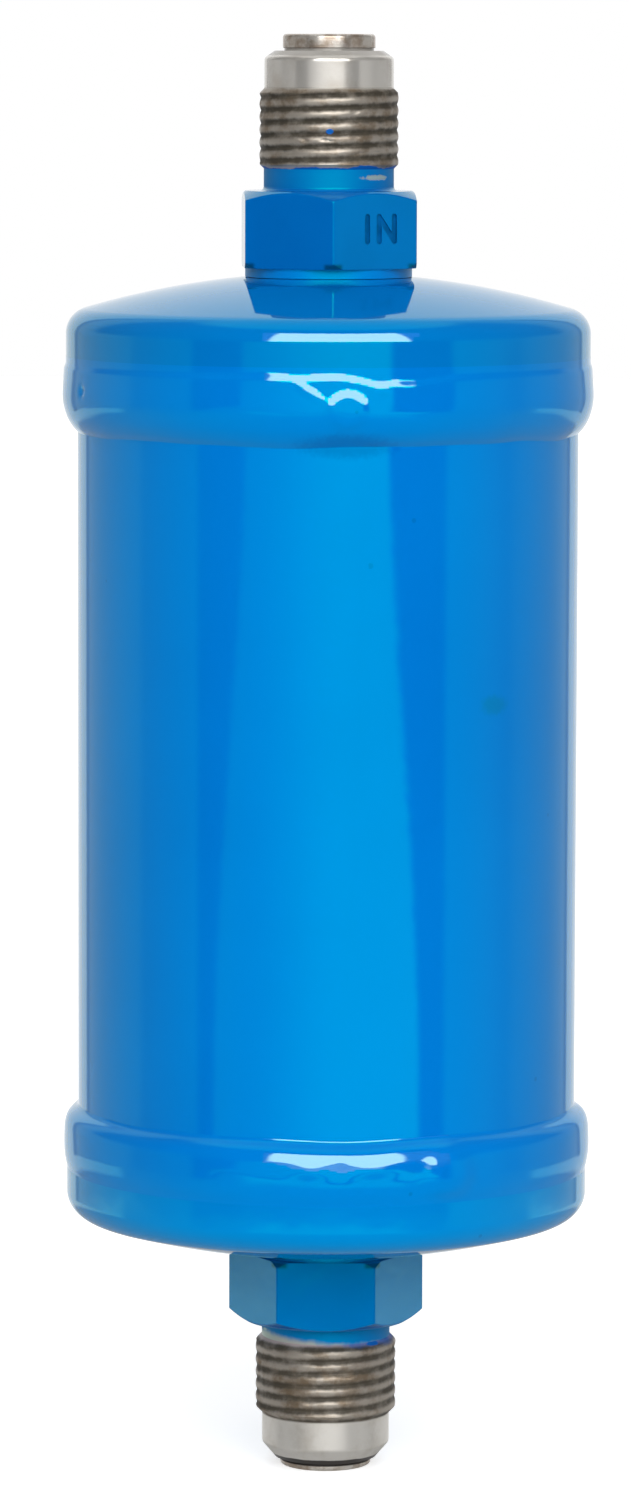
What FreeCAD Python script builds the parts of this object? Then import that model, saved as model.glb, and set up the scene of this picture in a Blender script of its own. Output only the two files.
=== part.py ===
"""Receiver drier for a refrigerant liquid line: a welded steel shell with a moulded drying core inside it and
a male flare fitting at each end. The shell's axis is Z, the inlet is at the top and the origin is half way
between the fittings' ends."""
import FreeCAD, Part
import math
import os
import re
import Sketcher

# Driving sizes, in millimetres and degrees
SIZES = {
    # Drawn shell tube
    "shell_length": 97.1,
    "shell_outer_diameter": 56.0,
    "shell_wall": 1.2,
    # Pressed end caps, which slip over the ends of the shell
    "cap_fit": 0.1,
    "cap_wall": 1.2,
    "cap_overlap": 6.7,
    "cap_seat_clearance": 0.05,
    "knuckle_inner_radius": 1.7,
    "crown_outer_radius": 96.0,
    # Weld beads between the caps' rims and the shell
    "bead_section_radius": 8.7,
    "bead_skin_gap": 0.05,
    "inlet_bead_width": 8.8,
    "inlet_bead_reach": 4.85,
    "outlet_bead_width": 7.7,
    "outlet_bead_reach": 3.95,
    # Turned flare fittings, with a hexagon for the spanner
    "spigot_diameter": 11.0,
    "spigot_fit": 0.1,
    "spigot_reach": 1.2,
    "hex_across_flats": 19.05,
    "hex_face_diameter": 18.6,
    "hex_chamfer_angle": 30.0,
    "hex_seat_diameter": 20.9,
    "hex_seat_angle": 50.0,
    "hex_cut_margin": 0.5,
    "inlet_hex_height": 8.5,
    "inlet_hex_turn": 35.5,
    "outlet_hex_height": 7.85,
    "outlet_hex_turn": 0.0,
    "neck_diameter": 14.5,
    "inlet_neck_length": 2.45,
    "outlet_neck_length": 1.9,
    "thread_diameter": 15.875,
    "thread_length": 8.9,
    "pilot_diameter": 14.4,
    "pilot_length": 3.35,
    "inlet_cone_height": 0.8,
    "inlet_cone_end_diameter": 12.1,
    "outlet_cone_height": 1.7,
    "outlet_cone_end_diameter": 11.5,
    "nose_length": 2.65,
    "lip_diameter": 10.3,
    "lip_rounding": 0.4,
    "lip_groove_width": 0.3,
    "lip_groove_depth": 0.15,
    "port_diameter": 7.14,
    "port_chamfer": 0.3,
    # Projection welds between the hexagons and the caps
    "inlet_weld_height": 0.8,
    "outlet_weld_height": 0.4,
    "weld_inset": 0.2,
    # Perforated support plate at the outlet end
    "plate_thickness": 1.0,
    "plate_dish": 4.0,
    "plate_bore_clearance": 1.2,
    "flange_inset": 0.5,
    "hole_diameter": 3.0,
    "hole_pitch": 5.2,
    "hole_land": 1.5,
    # Soft and woven layers
    "screen_thickness": 0.5,
    "outlet_pad_thickness": 4.0,
    "inlet_pad_thickness": 3.0,
    "gasket_thickness": 1.5,
    "gasket_bore_diameter": 24.0,
    "pad_clearance": 0.3,
    # Moulded drying core
    "core_diameter": 47.2,
    "core_draft": 0.6,
    "core_chamfer": 1.5,
    "core_bore_diameter": 14.0,
    "core_bore_draft": 1.0,
    "core_end_thickness": 22.0,
    # Spring cup and conical spring at the inlet end
    "cup_thickness": 0.9,
    "cup_bend_radius": 0.8,
    "cup_height": 3.4,
    "spring_height": 15.0,
    "spring_wire_diameter": 1.8,
    "spring_seat_clearance": 0.5,
    "spring_eye_clearance": 3.1,
    "spring_half_turns": 9,
}

doc = FreeCAD.newDocument("receiver_drier")
sheet = doc.addObject("Spreadsheet::Sheet", "Sizes")
for row, (alias, size) in enumerate(SIZES.items(), start=1):
    sheet.set(f"A{row}", alias)
    sheet.set(f"B{row}", str(size))
    sheet.setAlias(f"B{row}", alias)
doc.recompute()


def bound(formula):
    """Writes a formula of size names as an expression on the sheet's cells."""
    return re.sub(r"[a-z_]+", lambda word: f"Sizes.{word[0]}" if word[0] in SIZES else word[0], formula)


def value(formula):
    """The number that a formula of size names gives now."""
    return float(sheet.evalExpression(bound(formula)))


# Formulas that several pieces share
SHELL_RADIUS = "(shell_outer_diameter / 2)"
SHELL_BORE = "(shell_outer_diameter / 2 - shell_wall)"
SHELL_END = "(shell_length / 2)"
CAP_RIM = f"({SHELL_END} - cap_overlap)"
CAP_BORE = f"({SHELL_RADIUS} + cap_fit)"
CAP_RADIUS = f"({CAP_BORE} + cap_wall)"
KNUCKLE_RADIUS = "(knuckle_inner_radius + cap_wall)"
KNUCKLE_OFFSET = f"({CAP_BORE} - knuckle_inner_radius)"
FLANGE_RADIUS = f"({SHELL_RADIUS} - flange_inset)"
FLANGE_ROOM = f"sqrt(knuckle_inner_radius ^ 2 - ({FLANGE_RADIUS} - {KNUCKLE_OFFSET}) ^ 2)"
KNUCKLE_HEIGHT = f"(cap_overlap + plate_thickness + cap_seat_clearance - {FLANGE_ROOM})"
CROWN_INNER = "(crown_outer_radius - cap_wall)"
CROWN_REACH = f"(crown_outer_radius - {KNUCKLE_RADIUS})"
CROWN_RISE = f"sqrt({CROWN_REACH} ^ 2 - {KNUCKLE_OFFSET} ^ 2)"
SPIGOT_RADIUS = "(spigot_diameter / 2)"
SPIGOT_HOLE = f"({SPIGOT_RADIUS} + spigot_fit)"
HEX_CORNER = "(hex_across_flats / sqrt(3))"
INLET_STACK = "(inlet_weld_height + inlet_hex_height + inlet_neck_length)"
OUTLET_STACK = "(outlet_weld_height + outlet_hex_height + outlet_neck_length)"
SHELL_DROP = f"(({INLET_STACK} - {OUTLET_STACK}) / 2)"  # Shell's middle below the drier's


def crown_height(radius, crown_radius):
    """Height above the cap's rim of the crown's surface at a radius from the axis."""
    return f"({KNUCKLE_HEIGHT} - {CROWN_RISE} + sqrt({crown_radius} ^ 2 - {radius} ^ 2))"


def hex_seat(end):
    """Height above the cap's rim at which the hexagon of one end's fitting starts."""
    return f"({crown_height(SPIGOT_HOLE, 'crown_outer_radius')} + {end}_weld_height)"


def spigot_length(end):
    """Length of one end's fitting below its hexagon."""
    return f"(spigot_reach + cap_wall + {end}_weld_height)"


def origin_plane(body, role):
    """One of the three planes that a body's own origin carries."""
    return next(feature for feature in body.Origin.OriginFeatures if feature.Role == role)


def new_sketch(body, role, name, height="0", turn="0"):
    """A sketch on one of its body's own planes, raised and turned about the plane's normal."""
    sketch = body.newObject("Sketcher::SketchObject", name)
    sketch.AttachmentSupport = [(origin_plane(body, role), "")]
    sketch.MapMode = "FlatFace"
    if height != "0":
        sketch.setExpression("AttachmentOffset.Base.z", bound(height))
    if turn != "0":
        sketch.AttachmentOffset.Rotation.Axis = FreeCAD.Vector(0, 0, 1)
        sketch.setExpression("AttachmentOffset.Rotation.Angle", bound(turn))
    return sketch


def drive(sketch, kind, *place, size):
    """Adds one dimension to a sketch and binds it to a formula of size names."""
    index = sketch.addConstraint(Sketcher.Constraint(kind, *place, value(size)))
    sketch.setExpression(f"Constraints[{index}]", bound(size))


def locate(sketch, geometry, point, across, up):
    """Dimensions a point from the sketch's origin, or sets it on an axis where its formula is 0."""
    for formula, kind, axis in ((across, "DistanceX", -2), (up, "DistanceY", -1)):
        if formula == "0":
            sketch.addConstraint(Sketcher.Constraint("PointOnObject", geometry, point, axis))
        else:
            drive(sketch, kind, -1, 1, geometry, point, size=formula)


def arc_between(start, finish, radius, turn):
    """The shorter arc between two points, counter-clockwise where turn is 1 and clockwise where it is -1."""
    chord = finish - start
    normal = FreeCAD.Vector(-chord.y, chord.x, 0).normalize()
    centre = (start + finish) / 2 + normal * turn * math.sqrt(radius ** 2 - (chord.Length / 2) ** 2)
    first, last = (start, finish) if turn > 0 else (finish, start)
    angles = [math.atan2(point.y - centre.y, point.x - centre.x) for point in (first, last)]
    return Part.ArcOfCircle(Part.Circle(centre, FreeCAD.Vector(0, 0, 1), radius), *angles)


def outline(sketch, corners):
    """Draws a closed, fully dimensioned outline. Each corner is (across, up), or (across, up, radius, turn)
    where the side that follows it is an arc."""
    places = [FreeCAD.Vector(value(corner[0]), value(corner[1]), 0) for corner in corners]
    sides = []
    for number, corner in enumerate(corners):
        start, finish = places[number], places[(number + 1) % len(places)]
        if len(corner) == 2:
            sides.append((sketch.addGeometry(Part.LineSegment(start, finish), False), 1, 2))
        else:
            arc = arc_between(start, finish, value(corner[2]), corner[3])
            ends = (1, 2) if corner[3] > 0 else (2, 1)
            sides.append((sketch.addGeometry(arc, False), *ends))
    for number, corner in enumerate(corners):
        side, first, last = sides[number]
        following, following_first, _ = sides[(number + 1) % len(sides)]
        sketch.addConstraint(Sketcher.Constraint("Coincident", side, last, following, following_first))
        locate(sketch, side, first, corner[0], corner[1])
        if len(corner) > 2:
            drive(sketch, "Radius", side, size=corner[2])


def ring(sketch, *radii):
    """Draws circles about the sketch's origin."""
    for radius in radii:
        circle = Part.Circle(FreeCAD.Vector(0, 0, 0), FreeCAD.Vector(0, 0, 1), value(radius))
        number = sketch.addGeometry(circle, False)
        sketch.addConstraint(Sketcher.Constraint("Coincident", number, 3, -1, 1))
        drive(sketch, "Radius", number, size=radius)


def turned(body, name, *outlines, cut=False):
    """Revolves outlines about the body's axis, adding to the body or cutting from it."""
    sketch = new_sketch(body, "XZ_Plane", f"{name}_profile")
    for corners in outlines:
        outline(sketch, corners)
    feature = body.newObject("PartDesign::Groove" if cut else "PartDesign::Revolution", name)
    feature.Profile = sketch
    feature.ReferenceAxis = (sketch, ["V_Axis"])
    feature.Angle = 360
    doc.recompute()
    return feature


def new_body(name, height, inverted=False):
    """A body on the shell's axis, at a height above the shell's middle. A body of the outlet end stands upside
    down at that height below it."""
    body = doc.addObject("PartDesign::Body", name)
    if inverted:
        body.Placement.Rotation = FreeCAD.Rotation(FreeCAD.Vector(1, 0, 0), 180)
    level = f"-({height})" if inverted else height
    body.setExpression("Placement.Base.z", bound(f"{level} - {SHELL_DROP}"))
    return body


def shell_tube():
    """Drawn tube, cut square at both ends."""
    body = new_body("shell_tube", f"-{SHELL_END}")
    sketch = new_sketch(body, "XY_Plane", "tube_section")
    ring(sketch, SHELL_RADIUS, SHELL_BORE)
    tube = body.newObject("PartDesign::Pad", "tube")
    tube.Profile = sketch
    tube.setExpression("Length", bound("shell_length"))
    return body


def end_cap(end, inverted):
    """Pressed cap of even wall: a straight skirt, a tight knuckle and a spherical crown, pierced for the
    fitting."""
    stretch = f"{KNUCKLE_OFFSET} / {CROWN_REACH}"
    rise = f"{CROWN_RISE} / {CROWN_REACH}"
    centre = f"{KNUCKLE_HEIGHT} - {CROWN_RISE}"
    body = new_body(f"{end}_end_cap", CAP_RIM, inverted)
    turned(body, "pressing", [
        (CAP_BORE, "0"),
        (CAP_RADIUS, "0"),
        (CAP_RADIUS, KNUCKLE_HEIGHT, KNUCKLE_RADIUS, 1),
        (f"crown_outer_radius * {stretch}", f"{centre} + crown_outer_radius * {rise}", "crown_outer_radius", 1),
        (SPIGOT_HOLE, crown_height(SPIGOT_HOLE, "crown_outer_radius")),
        (SPIGOT_HOLE, crown_height(SPIGOT_HOLE, CROWN_INNER), CROWN_INNER, -1),
        (f"{CROWN_INNER} * {stretch}", f"{centre} + {CROWN_INNER} * {rise}", "knuckle_inner_radius", -1),
        (CAP_BORE, KNUCKLE_HEIGHT),
    ])
    return body


def cap_weld(end, inverted):
    """Bead of weld metal that closes the step between the cap's rim and the shell."""
    reach = f"{end}_bead_reach"
    toe = f"({SHELL_RADIUS} + bead_skin_gap)"
    shoulder = f"({CAP_RADIUS} + bead_skin_gap)"
    body = new_body(f"{end}_cap_weld", f"{CAP_RIM} - {reach}", inverted)
    turned(body, "bead", [
        (toe, "0", "bead_section_radius", 1),
        (shoulder, f"{end}_bead_width"),
        (shoulder, reach),
        (toe, reach),
    ])
    return body


def hexagon(body, end):
    """Spanner hexagon, upset on one end's fitting above its spigot."""
    sketch = new_sketch(body, "XY_Plane", "hexagon_section", spigot_length(end), f"{end}_hex_turn")
    turns = [math.radians(60 * side) for side in range(6)]
    corners = [FreeCAD.Vector(math.cos(angle), math.sin(angle), 0) * value(HEX_CORNER) for angle in turns]
    for side in range(6):
        sketch.addGeometry(Part.LineSegment(corners[side], corners[(side + 1) % 6]), False)
    circle = Part.Circle(FreeCAD.Vector(0, 0, 0), FreeCAD.Vector(0, 0, 1), value(HEX_CORNER))
    guide = sketch.addGeometry(circle, True)
    sketch.addConstraint(Sketcher.Constraint("Coincident", guide, 3, -1, 1))
    drive(sketch, "Radius", guide, size=HEX_CORNER)
    for side in range(6):
        sketch.addConstraint(Sketcher.Constraint("Coincident", side, 2, (side + 1) % 6, 1))
        sketch.addConstraint(Sketcher.Constraint("PointOnObject", side, 1, guide))
    for side in range(1, 6):
        sketch.addConstraint(Sketcher.Constraint("Equal", 0, side))
    sketch.addConstraint(Sketcher.Constraint("Horizontal", 1))
    pad = body.newObject("PartDesign::Pad", "hexagon")
    pad.Profile = sketch
    pad.setExpression("Length", bound(f"{end}_hex_height"))
    doc.recompute()


def flare_fitting(end, inverted):
    """Turned steel flare fitting: spigot, hexagon, neck, threaded length, pilot, cone and rolled lip, bored
    through. The thread is at its outside diameter here."""
    thread_radius = "thread_diameter / 2"
    neck_radius = "neck_diameter / 2"
    pilot_radius = "pilot_diameter / 2"
    lip_radius = "lip_diameter / 2"
    groove_radius = f"({lip_radius} - lip_groove_depth)"
    hex_foot = spigot_length(end)
    hex_top = f"({hex_foot} + {end}_hex_height)"
    thread_foot = f"({hex_top} + {end}_neck_length)"
    thread_end = f"({thread_foot} + thread_length)"
    pilot_end = f"({thread_end} + pilot_length)"
    ledge = f"({pilot_end} + {end}_cone_height)"
    tip = f"({pilot_end} + nose_length)"
    body = new_body(f"{end}_fitting", f"{CAP_RIM} + {hex_seat(end)} - {hex_foot}", inverted)
    turned(body, "turned_form", [
        ("0", "0"),
        (SPIGOT_RADIUS, "0"),
        (SPIGOT_RADIUS, hex_foot),
        (neck_radius, hex_foot),
        (neck_radius, thread_foot),
        (thread_radius, f"{thread_foot} + {thread_radius} - {neck_radius}"),
        (thread_radius, f"{thread_end} - {thread_radius} + {pilot_radius}"),
        (pilot_radius, thread_end),
        (pilot_radius, pilot_end),
        (f"{end}_cone_end_diameter / 2", ledge),
        (groove_radius, ledge),
        (groove_radius, f"{ledge} + lip_groove_width"),
        (lip_radius, f"{ledge} + lip_groove_width"),
        (lip_radius, f"{tip} - lip_rounding", "lip_rounding", 1),
        (f"{lip_radius} - lip_rounding", tip),
        ("0", tip),
    ])
    hexagon(body, end)
    face_radius = "hex_face_diameter / 2"
    seat_radius = "hex_seat_diameter / 2"
    cut_radius = f"({HEX_CORNER} + hex_cut_margin)"
    turned(
        body, "hexagon_chamfers",
        [
            (seat_radius, hex_foot),
            (cut_radius, hex_foot),
            (cut_radius, f"{hex_foot} + ({cut_radius} - {seat_radius}) * tan(hex_seat_angle)"),
        ],
        [
            (face_radius, hex_top),
            (cut_radius, f"{hex_top} - ({cut_radius} - {face_radius}) * tan(hex_chamfer_angle)"),
            (cut_radius, hex_top),
        ],
        cut=True,
    )
    port_radius = "port_diameter / 2"
    turned(body, "port", [
        ("0", "0"),
        (f"{port_radius} + port_chamfer", "0"),
        (port_radius, "port_chamfer"),
        (port_radius, f"{tip} - port_chamfer"),
        (f"{port_radius} + port_chamfer", tip),
        ("0", tip),
    ], cut=True)
    return body


def fitting_weld(end, inverted):
    """Ring of weld metal between the crown of the cap and the underside of the hexagon."""
    skin = "(crown_outer_radius + bead_skin_gap)"
    rim = "(hex_across_flats / 2 - weld_inset)"
    body = new_body(f"{end}_fitting_weld", CAP_RIM, inverted)
    turned(body, "weld_ring", [
        (SPIGOT_HOLE, crown_height(SPIGOT_HOLE, skin), skin, -1),
        (rim, crown_height(rim, skin)),
        (rim, hex_seat(end)),
        (SPIGOT_HOLE, hex_seat(end)),
    ])
    return body


def perforate(body, floor_radius, floor_top, thickness):
    """Punches holes through a plate's floor, one in the middle and the others in rings about it."""
    reach = f"{floor_radius} - hole_diameter / 2 - hole_land"
    for number in range(1 + int(value(reach) / value("hole_pitch"))):
        sketch = new_sketch(body, "XY_Plane", f"hole_{number}_section", floor_top)
        across = f"hole_pitch * {number}"
        centre = FreeCAD.Vector(value(across), 0, 0)
        circle = Part.Circle(centre, FreeCAD.Vector(0, 0, 1), value("hole_diameter / 2"))
        hole = sketch.addGeometry(circle, False)
        locate(sketch, hole, 3, across if number else "0", "0")
        drive(sketch, "Radius", hole, size="hole_diameter / 2")
        pocket = body.newObject("PartDesign::Pocket", f"hole_{number}")
        pocket.Profile = sketch
        pocket.setExpression("Length", bound(thickness))
        doc.recompute()
        if number:
            pattern = body.newObject("PartDesign::PolarPattern", f"hole_ring_{number}")
            pattern.Originals = [pocket]
            pattern.Axis = (sketch, ["N_Axis"])
            pattern.Angle = 360
            pattern.Occurrences = 6 * number
            body.Tip = pattern
            doc.recompute()


def outlet_plate():
    """Pressed steel plate, dished into the shell, whose flange is held between the shell's end and the cap."""
    bend = "(sqrt(2) - 1) * plate_thickness"
    foot = f"({SHELL_BORE} - plate_bore_clearance - {bend})"
    floor = f"({foot} - plate_dish)"
    body = new_body("outlet_plate", f"-{SHELL_END} - plate_thickness")
    turned(body, "dished_form", [
        ("0", "plate_dish"),
        (floor, "plate_dish"),
        (foot, "0"),
        (FLANGE_RADIUS, "0"),
        (FLANGE_RADIUS, "plate_thickness"),
        (f"{foot} + {bend}", "plate_thickness"),
        (f"{floor} + {bend}", "plate_dish + plate_thickness"),
        ("0", "plate_dish + plate_thickness"),
    ])
    perforate(body, floor, "plate_dish + plate_thickness", "plate_thickness")
    return body


def flat_disc(name, radius, thickness, height):
    """A round layer, cut from sheet."""
    disc = doc.addObject("Part::Cylinder", name)
    disc.setExpression("Radius", bound(radius))
    disc.setExpression("Height", bound(thickness))
    disc.setExpression("Placement.Base.z", bound(f"{height} - {SHELL_DROP}"))
    return disc


SCREEN_HEIGHT = f"(-{SHELL_END} + plate_dish)"
PAD_HEIGHT = f"({SCREEN_HEIGHT} + screen_thickness)"
GASKET_HEIGHT = f"({PAD_HEIGHT} + outlet_pad_thickness)"
CORE_HEIGHT = f"({GASKET_HEIGHT} + gasket_thickness)"
CORE_TOP_RADIUS = "(core_diameter / 2 - core_draft)"
CUP_RADIUS = f"({CORE_TOP_RADIUS} - core_chamfer)"
SPRING_FOOT = f"({CUP_RADIUS} - cup_thickness - spring_seat_clearance - spring_wire_diameter / 2)"
SPRING_EYE = f"({SPIGOT_RADIUS} + spring_eye_clearance + spring_wire_diameter / 2)"
SPRING_SEAT = f"({SPRING_EYE} + ({SPRING_FOOT} - {SPRING_EYE}) / spring_half_turns + spring_wire_diameter / 2)"
SPRING_HEIGHT = f"({CAP_RIM} + {crown_height(SPRING_SEAT, CROWN_INNER)} - spring_height)"
CUP_HEIGHT = f"({SPRING_HEIGHT} - cup_thickness)"
CORE_TOP = f"({CUP_HEIGHT} - inlet_pad_thickness)"
CORE_LENGTH = f"({CORE_TOP} - {CORE_HEIGHT})"


def outlet_screen():
    """Woven wire disc on the floor of the outlet plate."""
    return flat_disc("outlet_screen", f"{SHELL_BORE} - plate_bore_clearance - plate_dish", "screen_thickness",
                     SCREEN_HEIGHT)


def outlet_pad():
    """Polyester mat that fills the bore of the shell."""
    return flat_disc("outlet_pad", f"{SHELL_BORE} - pad_clearance", "outlet_pad_thickness", PAD_HEIGHT)


def core_gasket():
    """Felt ring that seals the core's outlet face to the shell."""
    outside = flat_disc("gasket_blank", f"{SHELL_BORE} - pad_clearance", "gasket_thickness", GASKET_HEIGHT)
    inside = flat_disc("gasket_bore", "gasket_bore_diameter / 2", "gasket_thickness", GASKET_HEIGHT)
    gasket = doc.addObject("Part::Cut", "core_gasket")
    gasket.Base = outside
    gasket.Tool = inside
    return gasket


def desiccant_core():
    """Moulded block, slightly tapered to leave its mould, with a blind round-ended bore from the outlet
    side."""
    bore_end = "(core_bore_diameter / 2 - core_bore_draft)"
    bore_depth = f"({CORE_LENGTH} - core_end_thickness)"
    body = new_body("desiccant_core", CORE_HEIGHT)
    turned(body, "block", [
        ("0", "0"),
        ("core_diameter / 2", "0"),
        (CORE_TOP_RADIUS, f"{CORE_LENGTH} - core_chamfer"),
        (f"{CORE_TOP_RADIUS} - core_chamfer", CORE_LENGTH),
        ("0", CORE_LENGTH),
    ])
    turned(body, "bore", [
        ("0", "0"),
        ("core_bore_diameter / 2", "0"),
        (bore_end, f"{bore_depth} - {bore_end}", bore_end, 1),
        ("0", bore_depth),
    ], cut=True)
    return body


def inlet_pad():
    """Felt disc between the core and the spring cup."""
    return flat_disc("inlet_pad", CUP_RADIUS, "inlet_pad_thickness", CORE_TOP)


def spring_cup():
    """Perforated steel cup that spreads the spring's force over the core."""
    outer_bend = "(cup_bend_radius + cup_thickness)"
    body = new_body("spring_cup", CUP_HEIGHT)
    turned(body, "cup_form", [
        ("0", "0"),
        (f"{CUP_RADIUS} - {outer_bend}", "0", outer_bend, 1),
        (CUP_RADIUS, outer_bend),
        (CUP_RADIUS, "cup_height"),
        (f"{CUP_RADIUS} - cup_thickness", "cup_height"),
        (f"{CUP_RADIUS} - cup_thickness", outer_bend, "cup_bend_radius", -1),
        (f"{CUP_RADIUS} - {outer_bend}", "cup_thickness"),
        ("0", "cup_thickness"),
    ])
    perforate(body, f"({CUP_RADIUS} - {outer_bend})", "cup_thickness", "cup_thickness")
    return body


def core_spring():
    """Conical wire spring from the cup to the inlet cap. Each half turn is an arc whose ends are square to Y,
    so the wire runs on smoothly from one to the next, and the first and last half turns lie flat."""
    wire_radius = value("spring_wire_diameter / 2")
    foot_radius = value(SPRING_FOOT)
    eye_radius = value(SPRING_EYE)
    half_turns = round(value("spring_half_turns"))
    rise = value("spring_height - spring_wire_diameter") / (half_turns - 2)
    stations = []
    for number in range(half_turns + 1):
        radius = foot_radius + (eye_radius - foot_radius) * number / half_turns
        height = wire_radius + rise * min(max(number - 1, 0), half_turns - 2)
        stations.append(FreeCAD.Vector(radius * (-1) ** number, 0, height))
    arcs = []
    for number in range(half_turns):
        start, finish = stations[number], stations[number + 1]
        centre = (start + finish) / 2
        heading = FreeCAD.Vector(0, (-1) ** number, 0)
        section = Part.Face(Part.Wire(Part.makeCircle(wire_radius, start, heading)))
        arcs.append(section.revolve(centre, (start - centre).cross(heading), 180))
    spring = doc.addObject("Part::Feature", "core_spring")
    spring.Shape = arcs[0].multiFuse(arcs[1:]).removeSplitter()
    spring.Placement.Base.z = value(f"{SPRING_HEIGHT} - {SHELL_DROP}")
    return spring


PIECES = [
    shell_tube(),
    end_cap("inlet", False),
    end_cap("outlet", True),
    cap_weld("inlet", False),
    cap_weld("outlet", True),
    flare_fitting("inlet", False),
    flare_fitting("outlet", True),
    fitting_weld("inlet", False),
    fitting_weld("outlet", True),
    outlet_plate(),
    outlet_screen(),
    outlet_pad(),
    core_gasket(),
    desiccant_core(),
    inlet_pad(),
    spring_cup(),
    core_spring(),
]
doc.recompute()

for feature in doc.Objects:
    if "Invalid" in feature.State or "Error" in feature.State:
        raise RuntimeError(f"{feature.Label} failed: {feature.State}")
for piece in PIECES:
    if piece.Shape.isNull() or not piece.Shape.isValid():
        raise RuntimeError(f"{piece.Label} has no valid shape")

os.makedirs("parts", exist_ok=True)
for piece in PIECES:
    piece.Shape.exportStep(f"parts/{piece.Label}.step")
    print(f"{piece.Label}: {piece.Shape.Volume:.1f} mm3, {len(piece.Shape.Solids)} solid")
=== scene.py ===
import math

import bmesh
import bpy
from mathutils import Matrix, Vector, noise


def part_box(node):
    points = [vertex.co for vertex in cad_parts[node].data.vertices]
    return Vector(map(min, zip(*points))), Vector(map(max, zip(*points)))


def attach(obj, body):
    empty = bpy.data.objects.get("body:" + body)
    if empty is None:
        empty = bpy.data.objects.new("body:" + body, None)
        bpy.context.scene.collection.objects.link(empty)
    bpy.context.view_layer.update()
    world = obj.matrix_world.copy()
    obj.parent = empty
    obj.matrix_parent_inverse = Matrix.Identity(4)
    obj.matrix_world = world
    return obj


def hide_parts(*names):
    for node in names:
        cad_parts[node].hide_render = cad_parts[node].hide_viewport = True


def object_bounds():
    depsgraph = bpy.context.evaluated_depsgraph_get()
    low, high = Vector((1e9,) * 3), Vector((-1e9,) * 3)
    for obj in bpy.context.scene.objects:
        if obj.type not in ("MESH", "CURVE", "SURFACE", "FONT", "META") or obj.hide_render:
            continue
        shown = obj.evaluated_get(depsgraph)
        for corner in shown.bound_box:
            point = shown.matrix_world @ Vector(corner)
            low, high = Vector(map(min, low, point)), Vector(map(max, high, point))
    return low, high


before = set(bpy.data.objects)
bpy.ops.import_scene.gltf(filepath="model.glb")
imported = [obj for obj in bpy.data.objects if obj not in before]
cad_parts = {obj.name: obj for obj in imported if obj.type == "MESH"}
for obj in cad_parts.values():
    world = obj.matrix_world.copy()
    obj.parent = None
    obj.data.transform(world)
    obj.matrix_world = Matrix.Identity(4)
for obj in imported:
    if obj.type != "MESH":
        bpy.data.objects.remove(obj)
cad_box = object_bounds()

# Camera. It stands three quarters of a metre from the drier, level with the upper fitting's nose, and looks a little
# down through a long lens, so that the drier stands upright and fills the frame.
MM = 0.001
PICTURE_WIDTH, PICTURE_HEIGHT = 631, 1500
AXIS_COLUMN = 327.3
CAMERA_DISTANCE = 748 * MM
CAMERA_HEIGHT = 79.3 * MM
CAMERA_TILT = math.radians(6)
CAMERA_ROLL = math.radians(0.15)
CLIP_START = 50 * MM
LENS = 160.6

camera_lens = bpy.data.cameras.new("camera")
camera_lens.lens = LENS
camera_lens.clip_start = CLIP_START
camera = bpy.data.objects.new("camera", camera_lens)
bpy.context.scene.collection.objects.link(camera)
pixels_per_sensor = PICTURE_HEIGHT / camera_lens.sensor_width
camera_turn = math.atan((AXIS_COLUMN - PICTURE_WIDTH / 2) / (LENS * pixels_per_sensor))
camera.matrix_world = (
    Matrix.Translation((0, -CAMERA_DISTANCE, CAMERA_HEIGHT))
    @ Matrix.Rotation(camera_turn, 4, "Z")
    @ Matrix.Rotation(math.pi / 2 - CAMERA_TILT, 4, "X")
    @ Matrix.Rotation(CAMERA_ROLL, 4, "Z")
)
bpy.context.scene.camera = camera
bpy.context.scene.view_settings.view_transform = "Standard"

# Studio. A white sweep stands behind the drier and a white screen before it, with a softbox above the camera. Grey
# walls between them show as upright bands in the enamel, and below lies a white table. The camera sees white all
# round. Bearings, from the camera's side, and rises over the horizon are in degrees.
WALL_BANDS = [
    (-180, 1.0), (-149, 1.0), (-147, 0.4), (-144, 0.4), (-142, 0.6), (-125, 0.52), (-98, 0.46), (-92, 0.3),
    (-63, 0.36), (-60, 0.07), (54, 0.07), (57, 0.5), (76, 0.46), (90, 0.3), (98, 0.4), (125, 0.46), (142, 0.6),
    (144, 0.4), (147, 0.4), (149, 1.0), (180, 1.0),
]
# Each part of the room: its brightness, its bearing, and where it starts and is full and where it fades and ends.
CEILING_BRIGHTNESS, CEILING_RISE = 0.75, (56, 64)
HIGH_WALL_BRIGHTNESS, HIGH_WALL_RISE, HIGH_WALL_SIDES = 0.18, (6, 12), (120, 132)
TABLE_BRIGHTNESS, TABLE_BLUR = 1.0, 0.7
TABLE_SIDE_BRIGHTNESS, TABLE_SIDES = 0.42, (32, 40, 98, 106)
TABLE_NEAR_BRIGHTNESS, TABLE_NEAR_RISE = 0.48, (-17, -14)
SCREEN_BRIGHTNESS, SCREEN_BEARING, SCREEN_BLUR, SCREEN_RISE = 1.12, -5, 2, (-10.4, -9.8, 5, 9)
SOFTBOX_BRIGHTNESS, SOFTBOX_BEARING, SOFTBOX_SIDES, SOFTBOX_RISE = 5.2, 5, (29.8, 32.2), (6.8, 8, 44, 45.2)
# How the table's edge rises towards the back, how the screen widens at its foot and how it dims to the left.
TABLE_EDGE_BY_BEARING = 70, 100, -11.0, -10.2
SCREEN_WIDTH_BY_RISE = -9, -3, 48, 32.5
SCREEN_LIGHT_BY_BEARING = -38, 8, 0.38, 1.0


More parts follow.
